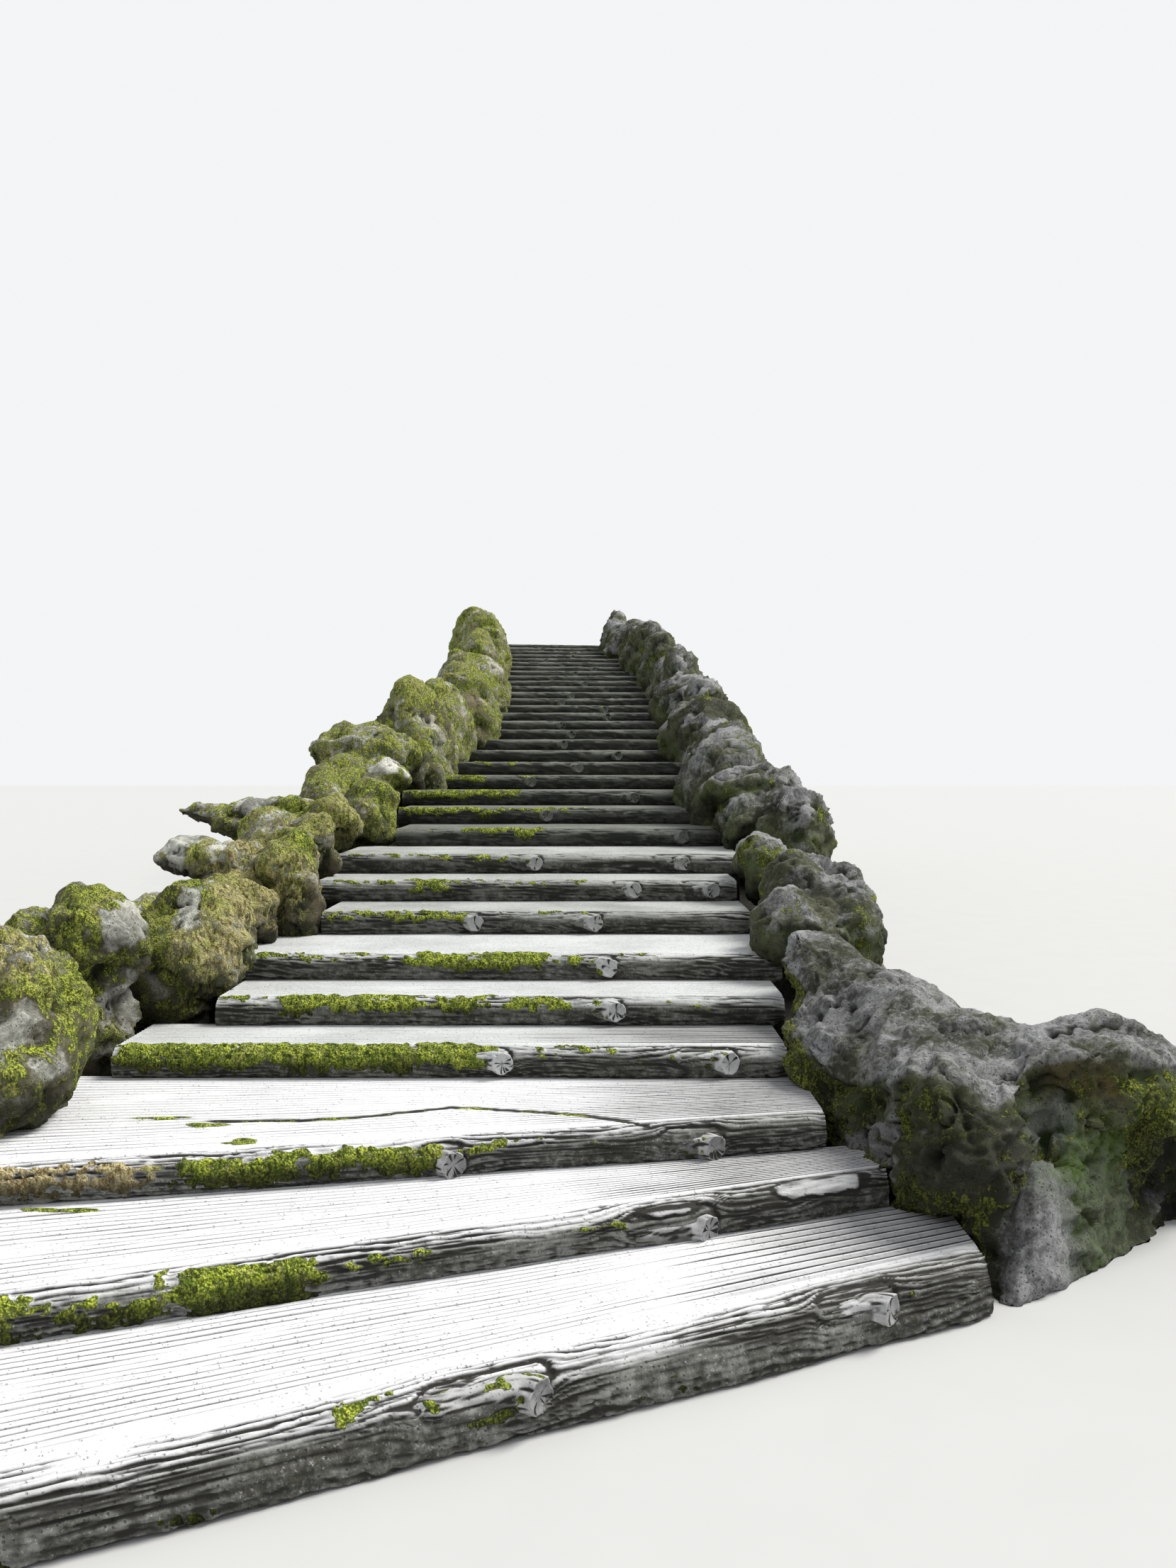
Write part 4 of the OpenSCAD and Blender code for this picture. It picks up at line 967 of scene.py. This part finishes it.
def loft(ribs, along, around):
    """A smooth closed surface through the ribs: points, faces, and each point's place along and around."""
    count, ring = ribs.shape[:2]
    wide = ring * around
    t = np.arange(around)[None, None, :, None] / around
    rings = between(*[np.roll(ribs, k, axis=1)[:, :, None] for k in (1, 0, -1, -2)],
                    t).reshape(count, wide, 3)
    s = np.linspace(0, count - 1, (count - 1) * along + 1)
    n = np.minimum(s.astype(int), count - 2)
    grid = between(*[rings[np.clip(n + k, 0, count - 1)] for k in (-1, 0, 1, 2)], (s - n)[:, None, None])

    # Both ends close in three smaller rings and a point
    domes, tips = [], []
    for end, inner in ((grid[0], grid[3]), (grid[-1], grid[-4])):
        hub, out = end.mean(0), (end - inner).mean(0)
        out = out / np.linalg.norm(out)
        domes.append([hub + (end - hub) * share + out * DOME * (1 - share ** 2)
                      for share in (0.85, 0.6, 0.3)])
        tips.append(hub + out * DOME)
    full = np.concatenate([domes[0][::-1], grid, domes[1]])
    ids = np.arange(len(full) * wide).reshape(len(full), wide)
    caps = np.vstack([fan_of(ids[0], ids.size), fan_of(ids[-1], ids.size + 1)[:, ::-1]])
    place_s = np.repeat(np.concatenate([np.zeros(3), s, np.full(3, count - 1)]), wide)
    place_t = np.tile(np.arange(wide) / around, len(full))
    return (np.vstack([full.reshape(-1, 3), tips]), tube_of(ids)[:, ::-1], caps,
            np.append(place_s, [0, count - 1]), np.append(place_t, [0, 0]))


def normals_of(points, quads):
    """Unit normals of the points of a mesh of quads."""
    cross = np.cross(points[quads[:, 2]] - points[quads[:, 0]], points[quads[:, 3]] - points[quads[:, 1]])
    total = np.zeros_like(points)
    for corner in range(4):
        np.add.at(total, quads[:, corner], cross)
    return total / np.maximum(np.linalg.norm(total, axis=1, keepdims=True), 1e-9)


def lump_mesh(lump, key):
    """One closed lump of the core, with the same dents as its CAD solid."""
    tilt = np.linspace(0, np.pi, LUMP_RINGS + 1)[1:-1]
    round_it = np.linspace(0, 2 * np.pi, LUMP_SIDES, endpoint=False)
    t, a = np.meshgrid(tilt, round_it, indexing="ij")
    d = np.stack([np.sin(t) * np.cos(a), np.sin(t) * np.sin(a), np.cos(t)], -1).reshape(-1, 3)
    d = np.vstack([d, [[0, 0, 1], [0, 0, -1]]])

    def wave(x, y, z, phase):
        return np.sin(np.radians(x * d[:, 0] + y * d[:, 1] + z * d[:, 2] + phase * key))

    dent = 1 + 0.07 * wave(150, 0, 120, 71) + 0.06 * wave(-150, 190, 0, 37) + 0.05 * wave(0, 210, 260, 113)
    ids = np.arange(t.size).reshape(t.shape)
    caps = [fan_of(ids[0], t.size)[:, ::-1], fan_of(ids[-1], t.size + 1)]
    return np.array(lump[:3]) + d * np.array(lump[3:]) * dent[:, None], tube_of(ids), np.vstack(caps)


def blend_lumps(lumps, voxel):
    """The lumps' union as one even mesh: points and quads."""
    points, faces = np.zeros((0, 3)), []
    for lump, key in lumps:
        more, quads, caps = lump_mesh(lump, key)
        faces += [tuple(row) for row in quads + len(points)] + [tuple(row) for row in caps + len(points)]
        points = np.vstack([points, more])
    mesh = bpy.data.meshes.new("core")
    mesh.from_pydata(points, [], faces)
    core = bpy.data.objects.new("core", mesh)
    bpy.context.scene.collection.objects.link(core)
    remesh = core.modifiers.new("even", "REMESH")
    remesh.mode = "VOXEL"
    remesh.voxel_size = voxel
    soften = core.modifiers.new("soften", "SMOOTH")
    soften.factor = 0.5
    soften.iterations = 6
    done = core.evaluated_get(bpy.context.evaluated_depsgraph_get()).to_mesh()
    p = np.zeros(len(done.vertices) * 3)
    done.vertices.foreach_get("co", p)
    q = np.zeros(len(done.loops), np.int32)
    done.loops.foreach_get("vertex_index", q)
    bpy.data.objects.remove(core)
    bpy.data.meshes.remove(mesh)
    return p.reshape(-1, 3), q.reshape(-1, 4)


def crag(points, seed, size, fineness, ridged):
    """Relief with sharp ridges and creases from about -1 to 1, its largest forms as wide as the size."""
    x, y, z = points.T
    bend = [0.45 * swell(seed + 20 + n, x / 0.27, y / 0.27, z / 0.27) for n in range(2)]
    total, weight = 0.0, 1.0
    for octave in range(4):
        field = swell(seed + octave, x / size + bend[0], y / size - bend[1], z / (0.7 * size) + bend[1])
        total = total + weight * ((0.85 - 2.4 * np.abs(field)) if octave in ridged else 1.2 * field)
        weight *= fineness
        size *= 0.5
    return total / 2


def weather(points, seed, fineness):
    """How far a point of a boulder is moved out along its normal, and how deep it lies in a hollow."""
    x, y, z = points.T
    relief = crag(points, seed, 0.36, fineness, (0, 1) if fineness < 0.6 else (1, 3))
    scoop = ease(0.22, 0.50, swell(seed + 12, x / 0.15, y / 0.16, z / 0.12))
    pit = ease(0.30, 0.62, swell(seed + 13, x / 0.052, y / 0.052, z / 0.044))
    knobs = swell(seed + 14, x / 0.030, y / 0.030, z / 0.026)
    bend = 0.5 * swell(seed + 16, x / 0.10, y / 0.10, z / 0.08)
    crease = ease(0.10, 0.015, np.abs(swell(seed + 15, x / 0.30 + bend, y / 0.30, z / 0.20 - bend)))
    crease = crease * ease(-0.4, 0.1, swell(seed + 17, x / 0.20, y / 0.20, z / 0.20))
    move = 0.052 * relief - 0.020 * crease - fineness * (0.040 * scoop + 0.015 * pit - 0.007 * knobs)
    hollow = 0.75 * ease(-0.05, -0.75, relief) + 0.65 * scoop + 0.5 * pit
    return move, hollow + 0.3 * np.clip(-knobs, 0, 1) + 0.8 * crease


def darker(colour, share):
    return tuple(share * part for part in colour[:3]) + (1,)


def rock_finish(name, light, shade, dark, moss_share):
    """Modelled rockwork: pale sandy cement where worn and painted light on upward faces, darker below
    with painted shade, hollows darkened with painted shade and dirt, pits, algae and moss.
    """
    material, tree = open_finish(name)
    grain = use_group(tree, mineral, Size=1.0)
    growth = use_group(tree, moss_group, Dryness=mark(tree, "dry"))
    mottle = grain["Mottle"] - 0.5
    paleness = (mark(tree, "light") + mottle * 2.2).ramp(0.25, 0.80)
    pale = grain["Mottle"].ramp(0.40, 0.57).blend(darker(light, 0.38), light)
    deep = grain["Mottle"].ramp(0.42, 0.58).blend(darker(shade, 0.35), shade)
    tint = paleness.blend(deep, pale)
    tint = (mark(tree, "stain") * mottle.ramp(-0.10, 0.12)).blend(tint, (0.13, 0.065, 0.022, 1))
    tint = (grain["Grains"].ramp(0.55, 0.68) * (paleness * 0.75)).blend(tint, (0.66, 0.66, 0.62, 1))
    tint = (grain["Grains"].ramp(0.47, 0.35) * 0.75).blend(tint, dark)
    tint = (grain["Pits"] * 0.8).blend(tint, dark)
    # Hollows and creases darkened with painted shade and dirt
    tint = (mark(tree, "hollow") + mottle).ramp(0.30, 1.0).blend(tint, dark)
    tint = (mark(tree, "algae") * mottle.ramp(-0.12, 0.10)).blend(tint, (0.060, 0.105, 0.010, 1))
    covered = (mark(tree, "moss") + growth["Edge"] * 2.2).ramp(0.42, 0.60)
    tint = covered.blend(tint, growth["Color"].scaled(moss_share)).scaled(mark(tree, "shadow") * -0.75 + 1.0)
    height = grain["Height"] * 1.5 + grain["Grains"] + covered * growth["Height"] * 1.6
    close_finish(tree, tint, covered.ramp(0.0, 1.0, 0.85, 1.0), height, 0.008)
    return material


mossy_rock = rock_finish("mossy_rockwork", (0.80, 0.80, 0.70, 1), (0.34, 0.31, 0.18, 1),
                         (0.030, 0.031, 0.015, 1), 1.0)
grey_rock = rock_finish("grey_rockwork", (0.36, 0.365, 0.365, 1), (0.12, 0.125, 0.070, 1),
                        (0.014, 0.017, 0.009, 1), 0.55)


def finish_boulder(name, node, points, quads, caps, look, seed, roughness):
    """Weathers a boulder's surface, seats it on the bed, and marks it by its look's rule."""
    material, slot, rule, fineness = look
    normals = normals_of(points, quads)
    move, hollow = weather(points, seed, fineness)
    marks = rule(points, normals, seed)
    moss = np.clip(marks["moss"], 0, 1)
    # Hollows take painted shade and dirt, scaled and deepened by the rule
    marks["hollow"] = np.clip(hollow * marks.pop("dirt_and_shade", 1.0) + marks.pop("deeper", 0.0), 0, 1)
    marks.setdefault("stain", np.zeros(len(points)))
    marks.setdefault("dry", np.full(len(points), 0.03))
    move = move * roughness * marks.pop("rough", 1.0) * (1 - 0.35 * moss)
    points = points + normals * (move + 0.010 * ease(0.35, 0.75, moss) + marks.pop("lift", 0.0))[:, None]
    floor_z = np.maximum(bed_slope(points[:, 1]) - 0.04, 0.0) * (points[:, 1] > bed_low.y)
    points[:, 2] = np.maximum(points[:, 2], floor_z)
    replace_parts(make_piece(name, points, [quads] + caps, material, slot, marks), node)


def patches(points, seed):
    """Irregular patches from -1 to 1 in which moss, algae and bare cement alternate."""
    x, y, z = points.T
    return (0.6 * swell(seed, x / 0.32, y / 0.32, z / 0.32)
            + 0.4 * swell(seed + 1, x / 0.11, y / 0.11, z / 0.10)
            + 0.2 * swell(seed + 2, x / 0.04, y / 0.04, z / 0.04))


def spots(points, places, ragged):
    """The strength at each point of soft uneven spots, given by place, radius and strength, long in depth."""
    best = np.zeros(len(points))
    for x, y, z, radius, strength in places:
        away = np.sqrt((points[:, 0] - x) ** 2 + (0.3 * (points[:, 1] - y)) ** 2 + (points[:, 2] - z) ** 2)
        best = np.maximum(best, strength * ease(1.4, 0.5, away / radius + 0.8 * ragged))
    return best


# Spots on the left border: place across, uphill and height, radius, strength. First thick moss, then bare
# pale cement, then dry moss, then the deep shaded sides.
MOSS_SPOTS = [(-1.75, 0.95, 0.88, 0.17, 0.6), (-1.81, 0.95, 1.00, 0.12, 0.5), (-1.62, 0.95, 0.70, 0.08, 0.6),
              (-2.01, 1.90, 1.05, 0.12, 0.45), (-1.72, 3.10, 0.97, 0.16, 0.35),
              (-1.62, 3.60, 1.22, 0.14, 0.4),
              (-1.50, 4.40, 1.42, 0.16, 0.35), (-1.80, 5.90, 1.72, 0.20, 0.45)]
BARE_SPOTS = [(-1.92, 0.95, 0.74, 0.06, 0.8), (-1.72, 0.95, 0.71, 0.07, 0.9), (-1.80, 0.95, 0.63, 0.05, 0.7),
              (-1.90, 0.95, 1.02, 0.07, 0.8), (-1.87, 1.90, 1.03, 0.05, 1.0), (-1.84, 1.90, 0.97, 0.05, 0.9),
              (-1.91, 1.90, 0.66, 0.10, 0.7), (-1.92, 1.95, 0.99, 0.08, 1.1), (-1.77, 2.30, 1.00, 0.05, 1.2),
              (-2.27, 3.70, 1.16, 0.09, 1.0), (-2.00, 3.70, 1.19, 0.07, 0.8), (-2.16, 4.90, 1.40, 0.09, 0.9),
              (-1.49, 5.90, 1.75, 0.14, 1.0)]
DRY_SPOTS = [(-1.64, 2.40, 0.82, 0.22, 0.45), (-1.66, 3.10, 0.95, 0.25, 0.45),
             (-1.90, 3.70, 1.15, 0.25, 0.35), (-1.95, 0.95, 1.02, 0.12, 0.4), (-1.55, 4.60, 1.30, 0.22, 0.25)]
DARK_SPOTS = [(-1.89, 2.30, 0.70, 0.18, 0.8), (-1.96, 1.95, 0.86, 0.13, 0.7), (-1.53, 3.50, 0.85, 0.16, 0.8),
              (-1.80, 1.00, 0.48, 0.14, 0.7), (-1.60, 3.10, 0.78, 0.10, 0.8)]


def left_rule(points, normals, seed):
    """Thick and dry moss with bare pale spots, painted light on upward faces, and darker sides with
    painted shade.
    """
    patch, bald = patches(points, seed + 60), patches(points, seed + 66)
    up = normals[:, 2]
    fibrous = swell(seed + 72, points[:, 0] / 0.06, points[:, 1] / 0.06, points[:, 2] / 0.05)
    bare = spots(points, BARE_SPOTS, bald + 0.7 * fibrous)
    moss = (0.50 + 0.10 * up + 0.42 * patch + 0.16 * fibrous + 0.6 * spots(points, MOSS_SPOTS, patch)
            - 0.80 * bare)
    return {"moss": moss, "light": 0.42 + 0.25 * up + bald + bare,
            "algae": np.clip(0.45 - 0.3 * up + patch - bare, 0, 1),
            "dry": np.clip(0.12 + 0.25 * bald + spots(points, DRY_SPOTS, patch), 0, 0.8),
            "shadow": np.clip(ease(0.0, -0.75, up) + 0.75 * spots(points, DARK_SPOTS, 0.5 * patch), 0, 1),
            "stain": np.clip(-1.2 * patch, 0, 0.6)}


def right_rule(points, normals, seed):
    """Grey tops with painted light, painted shade below, moss in patches and algae on the sides."""
    patch, bald = patches(points, seed + 60), patches(points, seed + 66)
    up = normals[:, 2]
    return {"moss": 0.16 - 0.05 * up + 0.75 * patch, "light": 0.15 + 0.50 * up + 0.9 * bald,
            "algae": np.clip(0.35 - 0.5 * up + patch, 0, 1), "shadow": ease(0.1, -0.7, up)}


LEFT_LOOK = (mossy_rock, "rockwork_mossy", left_rule, 0.48)
RIGHT_LOOK = (grey_rock, "rockwork_grey", right_rule, 0.62)


def boulder(name, node, lumps, voxel, look, seed, roughness):
    finish_boulder(name, node, *blend_lumps(lumps, voxel), [], look, seed, roughness)


for side, look, rocks, starts in (("left", LEFT_LOOK, LEFT_LUMPS, LEFT_STARTS),
                                  ("right", RIGHT_LOOK, RIGHT_LUMPS, RIGHT_STARTS)):
    for n, (lumps, start) in enumerate(zip(rocks, starts), 1 if side == "left" else 2):
        keyed = [(lump, k + start) for k, lump in enumerate(lumps)]
        if side == "left":
            voxel = NEAR_VOXEL if 1 < n < 6 else FAR_VOXEL
            boulder("rockwork_left_%d" % n, "left_rock_%d" % n, keyed, voxel, look, 500 + 20 * n, 1.4)
        else:
            boulder("rockwork_right_%d" % n, "right_rock_%d" % n, keyed, RIGHT_VOXEL, look, 700 + 20 * n, 1.2)

big_points, big_quads, big_caps, place_s, place_t = loft(RIBS, 14, 19)
RING_KNOB = (0.99, 1.13, 0.348)


def window(s, t, s0, s1, t0, t1, soft=0.3):
    """1 inside a region of the lofted rock, given along and around it, with soft edges."""
    return (ease(s0 - soft, s0 + soft, s) * ease(s1 + soft, s1 - soft, s) * ease(t0 - soft, t0 + soft, t)
            * ease(t1 + soft, t1 - soft, t))


def big_rule(points, normals, seed):
    """Pale sandy top, dark mossy face in painted shade, an uneven pale rib, a blue-grey foot fluted like
    roots, and painted shade in the recess, the notch and between the flutes.
    """
    patch, bald = patches(points, seed + 60), patches(points, seed + 66)
    s, t = place_s + 0.45 * patch, place_t + 0.34 * bald
    top = ease(2.30, 1.95, t) + ease(9.2, 10.2, t)
    face = ease(2.0, 2.35, t) * ease(8.0, 7.0, t)
    rib = window(place_s + 0.14 * patch, place_t, 6.0, 6.35, 1.2, 5.2, 0.16) * (0.75 + 0.5 * bald)
    foot = window(s, t, 8.9, 10.9, 4.9, 8.0)
    roots = window(s, t, 10.8, 12.5, 4.2, 8.0)
    lumps = window(s, t, 9.7, 11.0, 2.7, 4.3)
    bright_left = window(s, t, -1, 3.8, 1.9, 4.5)
    right_face = window(s, t, 10.9, 15, 2.2, 5.2)
    recess = window(s, t, 12.6, 13.7, 3.6, 7.6, 0.4)
    notch = window(place_s, place_t, 9.95, 10.35, 3.9, 4.7, 0.15)
    brown = window(s, t, 10.3, 12.3, 2.1, 3.1)
    belly = face * (1 - np.maximum.reduce([foot, roots, lumps, right_face]))
    flutes = swell(seed + 71, (place_s + 0.10 * bald) / 0.30 - 0.15 * (place_s - 10.5) * place_t,
                   place_t / 2.6)
    flute_share = window(place_s, place_t, 9.6, 13.2, 3.6, 8.0)
    crack = (np.exp(-((place_s - 9.62 - 0.05 * bald) / 0.035) ** 2)
             * window(place_s, place_t, 9, 10.2, 5.3, 6.8))
    away = np.linalg.norm(points - RING_KNOB, axis=1)
    away = np.linalg.norm(points - points[away.argmin()], axis=1)
    ring = np.exp(-((away - 0.040) / 0.013) ** 2)
    edge_bumps = 0.028 * swell(seed + 70, place_s / 0.55, place_s * 0) * np.exp(-((place_t - 1.9) / 0.7) ** 2)
    light = (0.62 * top + 0.7 * rib + 0.75 * foot + 0.45 * roots + 0.60 * lumps + 0.10 * right_face
             + 0.9 * ring + crack)
    moss = (face * (0.36 + 0.60 * patch) + 0.35 * bright_left + 0.20 * right_face
            + 0.25 * belly * ease(3.4, 5.2, place_t))
    moss = moss - 0.6 * top - 0.8 * rib - 0.9 * foot - 0.35 * roots - 0.3 * lumps - ring - crack
    algae = (0.8 * roots + 0.5 * lumps + right_face * (0.7 + patch) + foot * ease(5.9, 4.8, t)
             + belly * (0.25 + 0.6 * patch))
    shadow = belly * (0.52 - 0.34 * bright_left) * (1 - 0.7 * rib) * (1 - 0.6 * ring) + 0.85 * recess
    lift = 0.022 * ring - 0.010 * ease(0.030, 0.010, away) + 0.012 * rib + 0.009 * flutes * flute_share
    return {"moss": moss, "light": light + 1.5 * belly * ease(0.05, 0.50, bald) + 0.45 * top * bald,
            "algae": np.clip(algae, 0, 1), "shadow": np.clip(shadow, 0, 1),
            "stain": np.clip(brown + 0.45 * belly * bald, 0, 1), "dirt_and_shade": 1 - 0.85 * foot - 0.25 * top,
            "rough": (0.75 + 0.55 * face - 0.85 * foot - 0.45 * roots) * ease(0.04, 0.10, away),
            "deeper": notch + 0.8 * recess + 0.35 * flute_share * ease(-0.2, -0.8, flutes),
            "lift": lift - 0.045 * notch - 0.030 * recess + edge_bumps + 0.004 * crack}


finish_boulder("rockwork_right_1", "right_rock_1", big_points, big_quads, [big_caps],
               (grey_rock, "rockwork_grey", big_rule, 0.66), 700, 1.0)


def upper_lumps(side, y0, count, pitch, proud):
    """The small boulders that follow the flight uphill."""
    lumps = []
    for k in range(count):
        y = y0 + (k + 0.5) * pitch
        i = sum(1 for j in NOSE if NOSE[j][1] < y)
        edge = step_box(i)[0 if side < 0 else 1].x + side * (0.210 + 0.060 * np.sin(np.radians(140 * k)))
        x = edge - (y - NOSE[i][1]) * np.tan(turn(i))
        size = (0.340 + 0.090 * np.sin(np.radians(205 * k)),
                pitch * (0.62 + 0.12 * np.sin(np.radians(130 * k))),
                proud + 0.120 * np.sin(np.radians(160 * k + 40)))
        lumps.append(((x, y, bed_slope(y) + 0.300) + size, 1000 * y0 + k * 1000 * pitch))
    return lumps


boulder("rockwork_left_upper", "left_rocks_upper", upper_lumps(-1, 7.260, 12, 1.080, 0.620), UPPER_VOXEL,
        LEFT_LOOK, 900, 1.6)
boulder("rockwork_right_upper", "right_rocks_upper", upper_lumps(1, 5.930, 13, 1.105, 0.520), UPPER_VOXEL,
        RIGHT_LOOK, 940, 1.6)


# Camera, floor and light. The camera stands where a person stood on the path, 1.62 m above it, and looks
# almost level up the middle of the flight. The photograph's frame is 1659 by 2212.
FRAME_HIGH = 2212
FOCAL_PIXELS = 1790
HORIZON_ROW = 1085
CAMERA_PLACE = (0.0, -3.25, 1.62)
SENSOR = 36.0
FLOOR_SIZE = 240

lens = bpy.data.cameras.new("camera")
lens.sensor_fit = "VERTICAL"
lens.sensor_height = SENSOR
lens.lens = SENSOR * FOCAL_PIXELS / FRAME_HIGH
lens.clip_start = 0.05
lens.clip_end = 300
camera = bpy.data.objects.new("camera", lens)
bpy.context.scene.collection.objects.link(camera)
camera.location = CAMERA_PLACE
pitch_down = np.arctan((FRAME_HIGH / 2 - HORIZON_ROW) / FOCAL_PIXELS)
camera.rotation_euler = Euler((np.pi / 2 - pitch_down, 0, 0))
bpy.context.scene.camera = camera

floor_mesh = bpy.data.meshes.new("floor")
corners = [(x * FLOOR_SIZE / 2, y * FLOOR_SIZE / 2, 0) for x, y in ((-1, -1), (1, -1), (1, 1), (-1, 1))]
floor_mesh.from_pydata(corners, [], [(0, 1, 2, 3)])
floor = bpy.data.objects.new("floor", floor_mesh)
bpy.context.scene.collection.objects.link(floor)
floor.location.z = -0.001
pale, tree = open_finish("pale_floor")
speckle = place_in(tree).noise(3.0, 3.0, 0.5)
close_finish(tree, speckle.blend((0.52, 0.52, 0.51, 1), (0.55, 0.55, 0.54, 1)), 0.9, None, None)
floor_mesh.materials.append(pale)

# What the camera sees behind the flight is an even backdrop, and what lights the flight is a softer sky
world = bpy.data.worlds.new("soft_sky")
bpy.context.scene.world = world
world.use_nodes = True
tree = world.node_tree
tree.nodes.clear()
path = put(tree, "LightPath")
in_mirror = Feed(tree, path, "Is Glossy Ray").math("MAXIMUM", Feed(tree, path, "Is Transmission Ray"))
in_view = Feed(tree, path, "Is Camera Ray").math("MAXIMUM", in_mirror)
lighting = Feed(tree, put(tree, "Background", Color=(0.93, 0.96, 1.0, 1), Strength=0.68))
backdrop = Feed(tree, put(tree, "Background", Color=(0.90, 0.91, 0.92, 1), Strength=1.0))
both = Feed(tree, put(tree, "MixShader", i0=in_view, i1=lighting, i2=backdrop))
put(tree, "OutputWorld", Surface=both)

sun_light = bpy.data.lights.new("soft_sun", "SUN")
sun_light.energy = 3.9
sun_light.angle = np.radians(25)
sun_light.color = (1.0, 0.98, 0.94)
sun = bpy.data.objects.new("soft_sun", sun_light)
bpy.context.scene.collection.objects.link(sun)
sun.rotation_euler = Euler((np.radians(-15), np.radians(38), 0))

bpy.context.scene.view_settings.view_transform = "Standard"
